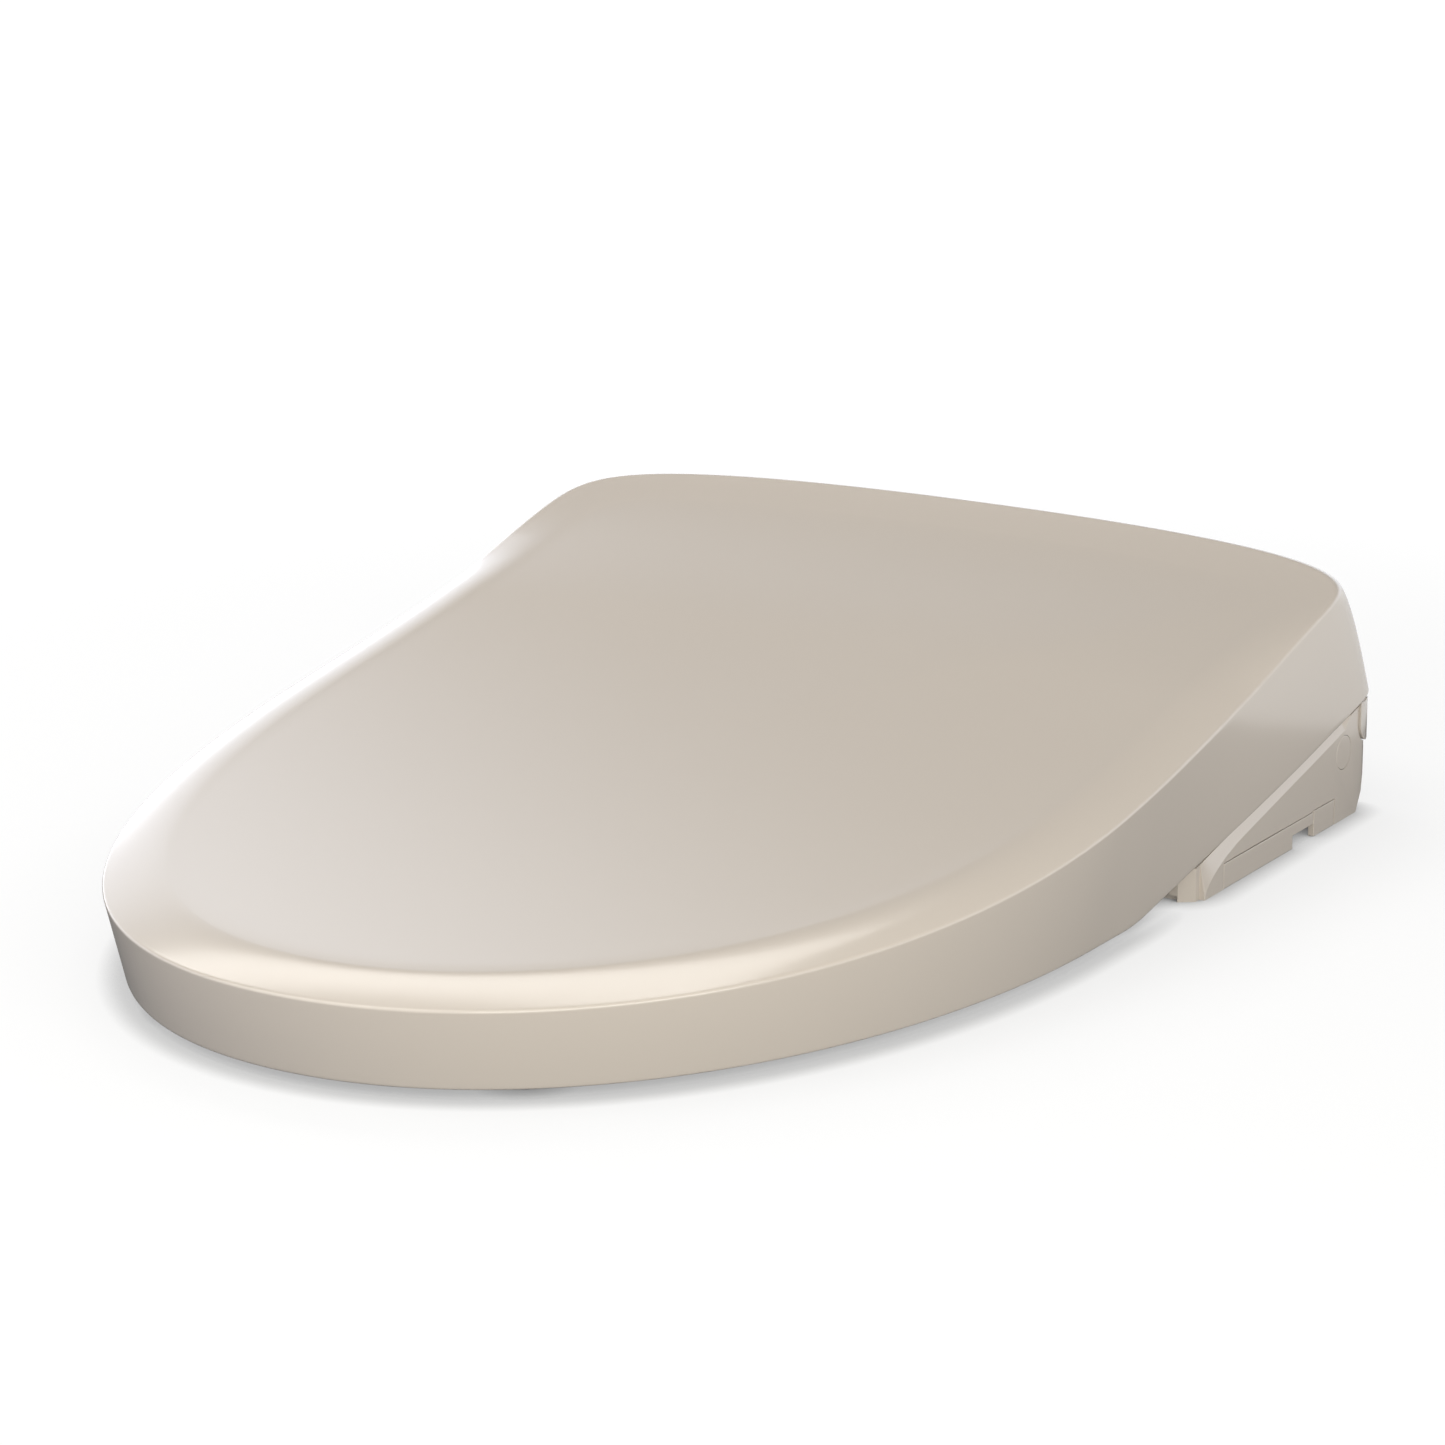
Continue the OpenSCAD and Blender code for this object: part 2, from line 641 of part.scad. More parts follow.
// Stands on two legs that guide the drawer between them
module deodorizer_housing() color(inner) difference() {
    union() {
        block(fan_x - fan_r - 4, fan_x + fan_r + 4, drawer_y0, drawer_y1, fan_z0, fan_z0 + 17);
        for (y = [drawer_y0 - 3, drawer_y1 + 0.6])
            block(fan_x - 10, fan_x + 16, y, y + 2.4, case_wall, fan_z0 + 12);
        for (y = [drawer_y0 - 3, drawer_y1 - 1])
            block(fan_x - 10, fan_x + 16, y, y + 4, fan_z0, fan_z0 + 12);
    }
    translate([fan_x, fan_y, fan_z0 - 1]) cylinder(r = fan_r + 1, h = 16);
    translate([fan_x, fan_y, fan_z0]) cylinder(r = 2 + run_fit, h = 20);
    block(fan_x - 9, fan_x + 9, drawer_y1 - 10, drawer_y1 + 5, fan_z0 + 2, fan_z0 + 11);
}

module wheel(r, hub, h, blades) {
    cylinder(r = hub, h = h);
    cylinder(r = r, h = 1);
    for (k = [0:blades - 1]) rotate([0, 0, 360*k/blades])
        translate([r*0.6, 0, 0]) rotate([0, 0, 35]) block(0, r*0.38, -0.5, 0.5, 0.5, h);
}

module deodorizer_fan() color(dark) translate([fan_x, fan_y, fan_z0 + 1]) {
    wheel(fan_r, 5, 12, 11);
    cylinder(r = 2, h = 15.5);
}

// ---- Hinge ----

module damper(r, length) difference() {
    rod_x(hinge_y, hinge_z, r, case_half - case_wall - length, case_half - case_wall);
    rod_x(hinge_y, hinge_z, shaft_r + run_fit, case_half - case_wall - length + 4, case_half);
}

damper_r = 6;
damper_len = 44;

module lid_damper() color(dark) damper(damper_r, damper_len);
module seat_damper() color(dark) mirror([1, 0, 0]) damper(damper_r, damper_len);
module lid_shaft() color(metal)
    rod_x(hinge_y, hinge_z, shaft_r, case_half - case_wall - damper_len + 5, lug_in + lug_bite);
module seat_shaft() color(metal) mirror([1, 0, 0])
    rod_x(hinge_y, hinge_z, shaft_r, case_half - case_wall - damper_len + 5, arm_x + arm_t - 1);
module hinge_pin() color(metal) mirror([1, 0, 0])
    rod_x(hinge_y, hinge_z, shaft_r, side_in - 0.5, lug_in + lug_bite);

// ---- Seat ----

arch_h = 33;                            // rise of the seat's underside over the nozzle
function seat_z(y) = edge_z(y) - seat_drop;
function under_seat(p) = bumper_h
    + arch_h*soft((p[1] + seat_back + 66)/30)*soft((96 - abs(p[0]))/22);

// Loop part-way across the ring from the outer line (g = 0) to the opening (g = 1)
function seat_loop(g, i, z) = let (a = seat_line(i), b = hole_line(-i))
    [for (k = [0:len(a) - 1]) let (p = a[k]*(1 - g) + b[k]*g) [p[0], p[1], z(p)]];
function below_crown(d) = function(p) seat_z(p[1]) - d;
function above_floor(d) = function(p) under_seat(p) + d;

module seat_top() color(shell) skin([
    seat_loop(0, 0, above_floor(0)), seat_loop(0, 0, below_crown(9)),
    seat_loop(0.04, 0, below_crown(5.5)), seat_loop(0.14, 0, below_crown(2)),
    seat_loop(0.3, 0, below_crown(0.4)), seat_loop(0.5, 0, below_crown(0)),
    seat_loop(0.7, 0, below_crown(0.8)), seat_loop(0.86, 0, below_crown(3.4)),
    seat_loop(0.96, 0, below_crown(7.5)), seat_loop(1, 0, below_crown(13)),
    seat_loop(1, 0, above_floor(0)), seat_loop(1, seat_wall, above_floor(0)),
    seat_loop(1, seat_wall, below_crown(14)), seat_loop(0.8, seat_wall, below_crown(3.4 + seat_wall)),
    seat_loop(0.5, seat_wall, below_crown(seat_wall)), seat_loop(0.2, seat_wall, below_crown(2 + seat_wall)),
    seat_loop(0, seat_wall, below_crown(10)), seat_loop(0, seat_wall, above_floor(0))]);

module seat_bottom() color(inner) skin([
    seat_loop(0, seat_wall + 0.2, above_floor(0)), seat_loop(0, seat_wall + 0.2, above_floor(2.5)),
    seat_loop(1, seat_wall + 0.2, above_floor(2.5)), seat_loop(1, seat_wall + 0.2, above_floor(0))]);

module seat_heater() color("#c98b4a") skin([
    seat_loop(0.25, seat_wall, below_crown(5.7)), seat_loop(0.25, seat_wall, below_crown(5.2)),
    seat_loop(0.5, seat_wall, below_crown(3.5)), seat_loop(0.75, seat_wall, below_crown(6.3)),
    seat_loop(0.75, seat_wall, below_crown(6.8)), seat_loop(0.5, seat_wall, below_crown(4))]);

arm_foot = 5;
arm_screw_ys = [-seat_back - 33, -seat_back - 13];

module seat_arm(bore_r) difference() {
    union() {
        along_x(arm_x, arm_x + arm_t) polygon([
            [-seat_back - 40, bumper_h - arm_foot], [6 - case_front, bumper_h - arm_foot],
            [16 - case_front, hinge_z - eye_r - 2], [hinge_y - 20, hinge_z - eye_r - 2],
            [hinge_y, hinge_z - eye_r], [hinge_y, hinge_z + eye_r], [hinge_y - 40, 50],
            [-seat_back + 0.4, 50], [-seat_back + 0.4, bumper_h], [-seat_back - 40, bumper_h]]);
        rod_x(hinge_y, hinge_z, eye_r, arm_x, arm_x + arm_t);
    }
    rod_x(hinge_y, hinge_z, bore_r, arm_x - 1, arm_x + arm_t + 1);
    for (y = arm_screw_ys) translate([arm_x + arm_t/2, y, 0]) {
        cylinder(r = 2, h = 20);
        cylinder(r = 4, h = bumper_h - arm_foot + 2.2);
    }
}

module seat_arm_left() color(shell) mirror([1, 0, 0]) seat_arm(shaft_r);
module seat_arm_right() color(shell) seat_arm(shaft_r + run_fit);

module arm_screws() color(metal) left_right() for (y = arm_screw_ys)
    translate([arm_x + arm_t/2, y, bumper_h - arm_foot]) screw(2, 3.8, 2.2, arm_foot + 2.3);

module seat_bumpers() color("#e2ddd5") left_right()
    for (p = [[72, 28 - hole_tip - 46], [140, -230]]) translate([p[0], p[1], 0]) {
        cylinder(r = 9, h = bumper_h - 2);
        translate([0, 0, bumper_h - 2]) cylinder(r = 7.5, h = 2);
    }

// ---- Lid ----

function top_loop(i, d) = [for (p = edge_line(i)) [p[0], p[1], edge_z(p[1]) + roll(i) - d]];
// Inside the margin the loops shrink towards the middle, and the surface rises by the crown
function crown_loop(f, d) = [for (p = edge_line(lid_roll_w))
    let (y = mix(lid_widest_y, p[1], f))
    [p[0]*f, y, edge_z(y) + lid_roll_h + lid_crown*(1 - f*f) - d]];
function crown_centre(d) = [0, lid_widest_y, edge_z(lid_widest_y) + lid_roll_h + lid_crown - d];
// Part-way down the wall (t = 1 at its foot). Towards the rear the wall bulges outwards.
function wall_loop(t, i, d) = let (a = edge_line(i), b = skirt_line(i))
    [for (k = [0:len(a) - 1])
        let (g = mix(t, pow(t, 0.62), soft((a[k][1] + 60)/80)), p = a[k] + (b[k] - a[k])*g)
        [p[0], p[1], mix(edge_z(a[k][1]) - d, skirt_z(b[k][1]), t)]];

module lid_shell() color(shell) skin([
    crown_loop(0.25, 0), crown_loop(0.5, 0), crown_loop(0.75, 0), crown_loop(1, 0),
    top_loop(17, 0), top_loop(9, 0), top_loop(3, 0), top_loop(0, 0),
    wall_loop(0.15, 0, 0), wall_loop(0.4, 0, 0), wall_loop(0.7, 0, 0), wall_loop(1, 0, 0),
    wall_loop(1, lid_wall, 0), wall_loop(0.6, lid_wall, 0), wall_loop(0.25, lid_wall, 0),
    top_loop(lid_wall, lid_wall + 1), top_loop(12, lid_wall), crown_loop(1, lid_wall),
    crown_loop(0.5, lid_wall)],
    [crown_centre(0), crown_centre(lid_wall)]);

module lid_lug() {
    intersection() {
        union() {
            rod_x(hinge_y, hinge_z, lug_r, lug_in, base_half + 2);
            block(lug_in, base_half + 2, hinge_y - lug_r, hinge_y + 6, hinge_z,
                  skirt_z(hinge_y - lug_r) - 0.2);
        }
        linear_extrude(80) polygon(skirt_line(0.3));
    }
    intersection() {
        block(lug_in, base_half + 2, hinge_y - lug_r + 1, hinge_y + 5,
              hinge_z + 2, skirt_z(hinge_y) + 5);
        linear_extrude(80) polygon(skirt_line(1.3));
    }
}

module lid_lug_right() color(shell) difference() {
    lid_lug();
    rod_x(hinge_y, hinge_z, shaft_r, lug_in - 1, lug_in + lug_bite);
}

module lid_lug_left() color(shell) mirror([1, 0, 0]) difference() {
    lid_lug();
    rod_x(hinge_y, hinge_z, shaft_r + run_fit, lug_in - 1, lug_in + lug_bite + run_fit);
}

module lid_bumpers() color("#e2ddd5") left_right()
    for (p = [[60, 62 - lid_tip], [138, -250]])
        translate([p[0], p[1], seat_z(p[1] + 6) + 0.4])
            cylinder(r = 6, h = edge_z(p[1]) + 4.5 - seat_z(p[1] + 6) - 0.4);

// ---- Wash nozzle: everything here lies in a frame that slopes down to the front ----

wand_z = 17.5;                          // height of the wand's axis at the casing's front
pitch = PI*gear_module;
rack_len = 31*pitch;
rack_y = wand_len - rack_len;
rack_base = 2;                          // thickness of the rack under its teeth
tooth_h = 1.8*gear_module;
rack_top = wand_r + rack_base + tooth_h;
pinion_r = gear_module*pinion_teeth/2;
pinion_y = rack_y + 29.5*pitch;         // a tooth of the rack lies under the pinion
pinion_z = wand_r + rack_base + gear_module + pinion_r;

module slope_frame() {
    translate([0, -case_front, wand_z]) rotate([wand_slope, 0, 0]) children();
}

module wand_bore(r) {
    translate([0, -1, 0]) rotate([-90, 0, 0]) cylinder(r = r, h = 200);
}

module nozzle_cradle() color(inner) union() {
    slope_frame() difference() {
        block(-wand_r - 3, wand_r + 3, 6, wand_len + 8, -wand_r - 3, 2);
        wand_bore(wand_r + 0.25);
    }
    intersection() {
        union() {
            block(-wand_r - 1, wand_r + 1, 12 - case_front, 24 - case_front, case_wall, 30);
            block(-wand_r - 1, wand_r + 1, -10, 4, pan_z, 50);
        }
        slope_frame() block(-50, 50, 0, 200, -60, -wand_r - 1.5);
    }
}

module nozzle_wand() color("#e8e8e6") slope_frame()
    translate([0, 12, 0]) rotate([-90, 0, 0]) cylinder(r = wand_r, h = wand_len - 12);

module nozzle_tip() color("#f2f2f0") slope_frame() difference() {
    union() {
        translate([0, 4, 0]) rotate([-90, 0, 0]) cylinder(r = wand_r, h = 8);
        translate([0, 4, 0]) sphere(r = wand_r);
    }
    for (y = [3, 7]) translate([0, y, 0]) cylinder(r = 0.7, h = 9);
}

module nozzle_rack() color("#d9d9d6") slope_frame() difference() {
    union() {
        block(-2.5, 2.5, rack_y, wand_len, wand_r - 1, wand_r + rack_base);
        along_x(-2.5, 2.5) for (k = [0:30])
            translate([rack_y + pitch*(k + 0.5), wand_r + rack_base])
                polygon([[-0.22*pitch, -eps], [-0.12*pitch, tooth_h],
                         [0.12*pitch, tooth_h], [0.22*pitch, -eps]]);
    }
    wand_bore(wand_r);
}

module nozzle_pinion() color("#d9d9d6") slope_frame()
    translate([-3, pinion_y, pinion_z]) rotate([0, 90, 0]) {
        linear_extrude(6) {
            circle(r = pinion_r - gear_module*1.1);
            for (k = [0:pinion_teeth - 1]) rotate(360*(k + 0.5)/pinion_teeth)
                polygon([[pinion_r - 1.3*gear_module, -0.62*gear_module],
                         [pinion_r + 0.7*gear_module, -0.28*gear_module],
                         [pinion_r + 0.7*gear_module, 0.28*gear_module],
                         [pinion_r - 1.3*gear_module, 0.62*gear_module]]);
        }
        cylinder(r = 1.5, h = 13);
    }

module nozzle_motor() color(metal) slope_frame() difference() {
    union() {
        rod_x(pinion_y, pinion_z, 12, wand_r + 2.5, wand_r + 19);
        block(wand_r + 0.5, wand_r + 3, pinion_y - 9, wand_len + 8, 2, pinion_z + 6);
    }
    rod_x(pinion_y, pinion_z, 1.5 + run_fit, wand_r, wand_r + 6);
}

// ---- Water ----

heater_x = 6 - case_half;
heater_y = 22 - case_front;
heater_w = 70;
port_x = valve_x + valve_w/2;           // the valves' outlets and the heater's inlet line up
tube_z = case_wall + heater_h + 10;

module water_inlet() color("#c9a45c") mirror([1, 0, 0]) difference() {
    union() {
        rod_x(inlet_y, inlet_z, spigot_r, case_half - 12, case_half + 3);
        rod_x(inlet_y, inlet_z, inlet_r, case_half + 2, side_in + 4);
    }
    rod_x(inlet_y, inlet_z, 7, case_half - 6, side_in + 5);
    rod_x(inlet_y, inlet_z, 3, case_half - 20, case_half);
}

module inlet_filter() color("#dfe3e6") mirror([1, 0, 0]) difference() {
    rod_x(inlet_y, inlet_z, 6.9, case_half - 6, side_in - 6);
    rod_x(inlet_y, inlet_z, 5.5, case_half - 4, side_in - 5);
    for (k = [0:5]) translate([0, inlet_y, inlet_z]) rotate([60*k, 0, 0])
        block(case_half - 2, side_in - 9, -1, 1, 0, 9);
}

module solenoid_valve() color(dark) {
    block(valve_x, valve_x + valve_w, inlet_y - 12, inlet_y + 12, case_wall, 27);
    translate([port_x, inlet_y, 27]) cylinder(r = valve_w*5/12, h = 14);
}

module flow_valve() color("#e8e8e6") {
    block(valve_x + 2, valve_x + valve_w - 2, inlet_y + 12, inlet_y + 32, case_wall, 22);
    translate([port_x, inlet_y + 22, 22]) cylinder(r = valve_w/3, h = 16);
}

module water_heater() color("#d8d2c4") {
    top = case_wall + heater_h;
    difference() {
        block(heater_x, heater_x + heater_w, heater_y, -pan_front - 1, case_wall, top);
        block(heater_x + 3, heater_x + heater_w - 3, heater_y + 3, -pan_front - 4,
              case_wall + 3, top - 3);
    }
    for (x = [port_x, port_x + 40]) translate([x, heater_y + 24, top]) cylinder(r = 4, h = 4);
}

// Rigid tube from the flow valve to the heater
module heater_tube() color("#c9b68a") {
    y0 = heater_y + 24;
    y1 = inlet_y + 22;
    translate([port_x, y0, case_wall + heater_h + 4])
        cylinder(r = 3, h = tube_z - case_wall - heater_h - 4);
    translate([port_x, y1, 38]) cylinder(r = 3, h = tube_z - 38);
    translate([port_x, y0, tube_z]) rotate([-90, 0, 0]) cylinder(r = 3, h = y1 - y0);
    for (y = [y0, y1]) translate([port_x, y, tube_z]) sphere(r = 3);
}

pump_w = 38;
pump_x = 16.8 - pan_half;

module air_pump() color(dark) {
    block(pump_x, pump_x + pump_w, -28, 2, pan_z, pan_z + 26);
    translate([pump_x + pump_w/2, -13, pan_z + 26]) cylinder(r = 11, h = 6);
}

// ---- Warm-air dryer ----

blower_x = duct_x + outlet_w;
blower_y = 48 - case_front;
blower_z0 = case_wall;

module dryer_housing() color(inner) difference() {
    union() {
        translate([blower_x, blower_y, blower_z0]) cylinder(r = blower_r, h = blower_h);
        block(duct_x - 1.5, duct_x + outlet_w + 1.5, case_wall - case_front + 0.2, blower_y,
              blower_z0, duct_z1 + 1.5);
    }
    translate([blower_x, blower_y, blower_z0 + 2]) cylinder(r = blower_r - 2, h = blower_h - 4);
    translate([blower_x, blower_y, blower_z0 + 2]) cylinder(r = 5, h = blower_h);
    block(duct_x + 0.5, duct_x + outlet_w - 0.5, -case_front, blower_y, duct_z0, duct_z1);
}

module dryer_impeller() color(dark) translate([blower_x, blower_y, blower_z0 + 4]) {
    wheel(blower_r - 5, 6, blower_h - 9, 13);
    cylinder(r = 1.5, h = blower_h + 4);
}

module dryer_motor() color(metal) difference() {
    translate([blower_x, blower_y, blower_z0 + blower_h]) cylinder(r = 13, h = 20);
    translate([blower_x, blower_y, blower_z0]) cylinder(r = 1.5 + run_fit, h = blower_h + 9);
}

module dryer_heater() color("#b0763c") {
    y0 = 10 - case_front;
    for (k = [0:3]) block(duct_x + 0.5, duct_x + outlet_w - 0.5, y0 + 3*k, y0 + 1 + 3*k,
                          duct_z0 + 2 + 3*(k%2), duct_z0 + 12 + 3*(k%2));
    for (x = [duct_x + 4, duct_x + outlet_w - 5])
        block(x, x + 1, y0, y0 + 10, duct_z0, duct_z1);
}

flap_t = 1.8;
flap_pin_r = 0.9;
flap_pin_y = case_wall/2 - case_front;
flap_pin_z = duct_z1 - 2;

module dryer_flap() color(shell) {
    block(duct_x + 0.4, duct_x + outlet_w - 0.4, -case_front, flap_t - case_front,
          duct_z0 + 0.4, flap_pin_z);
    rod_x(flap_pin_y, flap_pin_z, flap_pin_r, duct_x - 1.5, duct_x + outlet_w + 1.5);
}

// ---- Electronics ----

module control_board() color("#3f6b4a") {
    block(-48, 48, 24, 25.6, pan_z, 66);
    for (k = [0:3]) block(-42 + 22*k, -30 + 22*k, 21, 24, 30, 44);
    block(-20, 6, 18, 24, 50, 58);
}

supply_w = 42;
supply_x = pan_half - 10.8 - supply_w;

module power_supply() color("#d5d0c6") {
    block(supply_x, supply_x + supply_w, -30, 14, pan_z + 2, pan_z + 30);
    for (x = [supply_x + 4, supply_x + supply_w - 4], y = [-26, 10])
        translate([x, y, pan_z]) cylinder(r = 2.5, h = 2);
}

module cord_gland() color(dark) difference() {
    translate([cord_x, case_foot_y - 2, cord_z]) rotate([-90, 0, 0]) {
        cylinder(r = cord_r, h = 19);
        cylinder(r = cord_r + 1.5, h = 3);
    }
    translate([cord_x, 0, cord_z]) rotate([-90, 0, 0]) cylinder(r = 3.5, h = 80);
}

module control_button(y) color("#b9b2a8") mirror([1, 0, 0]) {
    rod_x(y, button_z, button_r, base_half - 2.6, base_half + 0.6);
    rod_x(y, button_z, 1.2, base_half - 5.6, base_half - 2.5);
}

module stop_button() control_button(button_ys[0]);
module rear_wash_button() control_button(button_ys[1]);
module front_wash_button() control_button(button_ys[2]);

module button_board() color("#3f6b4a") mirror([1, 0, 0]) {
    block(side_in + case_wall, side_in + case_wall + 1.6, button_ys[0] - 5, button_ys[2] + 2,
          button_z - 6, button_z + 6);
}

base_tray();
case_cover();
side_cover_left();
side_cover_right();
side_strip_left();
screw_caps();
case_screws();
side_screws();
base_feet();
mounting_bracket();
release_button();
filter_drawer();
deodorizer_filter();
deodorizer_housing();
deodorizer_fan();
hinge_pin();
lid_damper();
lid_shaft();
seat_damper();
seat_shaft();
seat_top();
seat_bottom();
seat_heater();
seat_arm_left();
seat_arm_right();
arm_screws();
seat_bumpers();
lid_shell();
lid_lug_left();
lid_lug_right();
lid_bumpers();
nozzle_cradle();
nozzle_wand();
nozzle_tip();
nozzle_rack();
nozzle_pinion();
nozzle_motor();
water_inlet();
inlet_filter();
solenoid_valve();
flow_valve();
water_heater();
heater_tube();
air_pump();
dryer_housing();
dryer_impeller();
dryer_motor();
dryer_heater();
dryer_flap();
control_board();
power_supply();
cord_gland();
stop_button();
rear_wash_button();
front_wash_button();
button_board();
indicator_lens();
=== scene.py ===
# Electric bidet seat: finished pieces, finishes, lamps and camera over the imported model.
# Metres. +X is to the right seen from the front, +Y to the rear, +Z up.
import json
import math

import bmesh
import bpy
from mathutils import Matrix, Vector

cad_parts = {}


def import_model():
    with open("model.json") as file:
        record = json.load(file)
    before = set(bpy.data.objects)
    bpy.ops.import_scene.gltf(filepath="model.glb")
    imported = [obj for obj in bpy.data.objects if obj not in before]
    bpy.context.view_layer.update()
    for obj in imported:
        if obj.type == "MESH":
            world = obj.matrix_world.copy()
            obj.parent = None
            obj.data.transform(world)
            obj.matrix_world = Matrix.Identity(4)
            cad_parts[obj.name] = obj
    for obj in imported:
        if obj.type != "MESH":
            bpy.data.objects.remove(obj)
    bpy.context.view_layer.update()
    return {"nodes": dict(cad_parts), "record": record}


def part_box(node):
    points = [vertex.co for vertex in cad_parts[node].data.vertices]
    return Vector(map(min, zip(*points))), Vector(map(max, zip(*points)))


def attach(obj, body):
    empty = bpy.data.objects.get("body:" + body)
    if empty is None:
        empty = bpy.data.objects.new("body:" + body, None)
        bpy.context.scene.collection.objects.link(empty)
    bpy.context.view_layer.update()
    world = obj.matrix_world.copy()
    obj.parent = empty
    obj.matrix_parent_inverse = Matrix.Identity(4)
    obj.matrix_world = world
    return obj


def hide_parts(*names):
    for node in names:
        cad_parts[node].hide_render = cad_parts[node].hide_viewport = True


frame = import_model()
MM = 0.001
CAD_WELD, SKIN_WELD, TURNED_WELD = 0.002 * MM, 0.008 * MM, 0.004 * MM


# ---- Node trees written as formulas ----

class Field:
    """A value in a node tree. Arithmetic on it adds math nodes to that tree."""

    def __init__(self, tree, socket):
        self.tree, self.socket = tree, socket

    def op(self, kind, *others):
        node = self.tree.nodes.new("ShaderNodeMath")
        node.operation = kind
        for slot, value in zip(node.inputs, (self, *others)):
            put(self.tree, slot, value)
        return Field(self.tree, node.outputs[0])

    def __add__(self, other):
        return self.op("ADD", other)

    def __sub__(self, other):
        return self.op("SUBTRACT", other)

    def __rsub__(self, other):
        return self.op("MULTIPLY", -1.0).op("ADD", other)

    def __mul__(self, other):
        return self.op("MULTIPLY", other)

    def __truediv__(self, other):
        return self.op("DIVIDE", other)

    def __rtruediv__(self, other):
        return self.op("POWER", -1.0).op("MULTIPLY", other)

    def __pow__(self, other):
        return self.op("POWER", other)

    def __mod__(self, other):
        return self.op("MODULO", other)

    def __gt__(self, other):
        return self.op("GREATER_THAN", other)

    __radd__, __rmul__ = __add__, __mul__


def put(tree, slot, value):
    """Links a field or a socket to a slot, or sets the slot's own value."""
    if isinstance(value, Field):
        tree.links.new(value.socket, slot)
    elif isinstance(value, bpy.types.NodeSocket):
        tree.links.new(value, slot)
    else:
        slot.default_value = value


def node(tree, kind, *values, out=0, **settings):
    """Adds a node. Values go to its first inputs, or by name where a pair is given."""
    new = tree.nodes.new(kind)
    for key, value in settings.items():
        setattr(new, key, value)
    for k, value in enumerate(values):
        if isinstance(value, tuple) and value and isinstance(value[0], str):
            put(tree, new.inputs[value[0]], value[1])
        elif value is not None:
            put(tree, new.inputs[k], value)
    return new if out is None else Field(tree, new.outputs[out])


def clamp(x):
    return x.op("MAXIMUM", 0.0).op("MINIMUM", 1.0)


def mix(a, b, t):
    return a + (b - a) * t


def ramp(x, start, end):
    """Eases from 0 where x is start to 1 where x is end."""
    x = clamp((x - start) / (end - start))
    return x * x * (3.0 - 2.0 * x)


def eased(x, bend):
    """x, bent to start slowly (bend -1) or to end slowly (bend 1)."""
    return x + bend * x * (1.0 - x)


def new_tree(name, kind, inputs, outputs):
    """A node group with named inputs. Returns it, its input fields by name, and its output node."""
    tree = bpy.data.node_groups.new(name, kind)
    for label, sort, value in inputs:
        socket = tree.interface.new_socket(label, in_out="INPUT", socket_type=sort)
        if value is not None:
            socket.default_value = value
    for label, sort in outputs:
        tree.interface.new_socket(label, in_out="OUTPUT", socket_type=sort)
    source = tree.nodes.new("NodeGroupInput")
    fields = {s.name: Field(tree, s) for s in source.outputs if s.name}
    return tree, fields, tree.nodes.new("NodeGroupOutput")


def use(tree, group, kind="GeometryNodeGroup", **values):
    """Puts a group into a tree. Keyword names have underscores for spaces."""
    new = tree.nodes.new(kind)
    new.node_tree = group
    for key, value in values.items():
        put(tree, new.inputs[key.replace("_", " ").capitalize()], value)
    return new


# Kinds of socket (float, integer, geometry, colour, vector) and of tree
F, I, G = "NodeSocketFloat", "NodeSocketInt", "NodeSocketGeometry"
C, V = "NodeSocketColor", "NodeSocketVector"
GEOMETRY, SHADER = "GeometryNodeTree", "ShaderNodeTree"


# ---- Geometry Nodes: the outline that the lid and the seat share ----

NOSE, SIDE, REAR = 96, 30, 78       # steps along half the outline
HALF = NOSE + SIDE + REAR
NOSE_POWER = 2 / 2.05               # superellipse of the nose, 1 for a plain ellipse
REAR_POWER = 4.8                    # gathers the rear's steps at its corner
RISE_POWER = 2.1                    # how late the upper edge climbs, 1 for a straight climb


def outline_group():
    """Half an outline seen from above. Station runs from the tip (0) round the nose to the widest
    place (1), along the side to the rear corner (2), and across the rear to the middle (3)."""
    tree, v, out = new_tree("outline", GEOMETRY, [
        ("Station", F, 0.0), ("Width", F, 0.38), ("Widest", F, -0.192), ("Tip", F, 0.475),
        ("Rear width", F, 0.373), ("Corner", F, -0.058), ("Back", F, 0.041),
        ("Bow", F, 2.2), ("Square", F, 8.0), ("Inset", F, 0.0)], [("X", F), ("Y", F)])
    station, inset = v["Station"], v["Inset"]
    angle = (1.0 - clamp(station)) * (math.pi / 2)
    along = clamp(station - 1.0)
    f = 1.0 - clamp(station - 2.0) ** REAR_POWER
    half = v["Width"] / 2
    x = (half - inset) * angle.op("COSINE").op("MAXIMUM", 0.0) ** NOSE_POWER
    y = v["Widest"] - (v["Widest"] + v["Tip"] - inset) * angle.op("SINE") ** NOSE_POWER
    x = (x + (v["Rear width"] / 2 - half) * ramp(along, 0.0, 1.0)) * f
    y = y + (v["Corner"] - v["Widest"]) * along
    y = y + (v["Back"] - v["Corner"] - inset) * clamp(1.0 - f ** v["Bow"]) ** (1.0 / v["Square"])
    put(tree, out.inputs["X"], x)
    put(tree, out.inputs["Y"], y)
    return tree


outline = outline_group()


def outline_at(tree, station, inset, **sizes):
    """X and Y of an outline of these sizes at a station, moved inward by inset."""
    group = use(tree, outline, station=station, inset=inset, **sizes)
    return Field(tree, group.outputs["X"]), Field(tree, group.outputs["Y"])


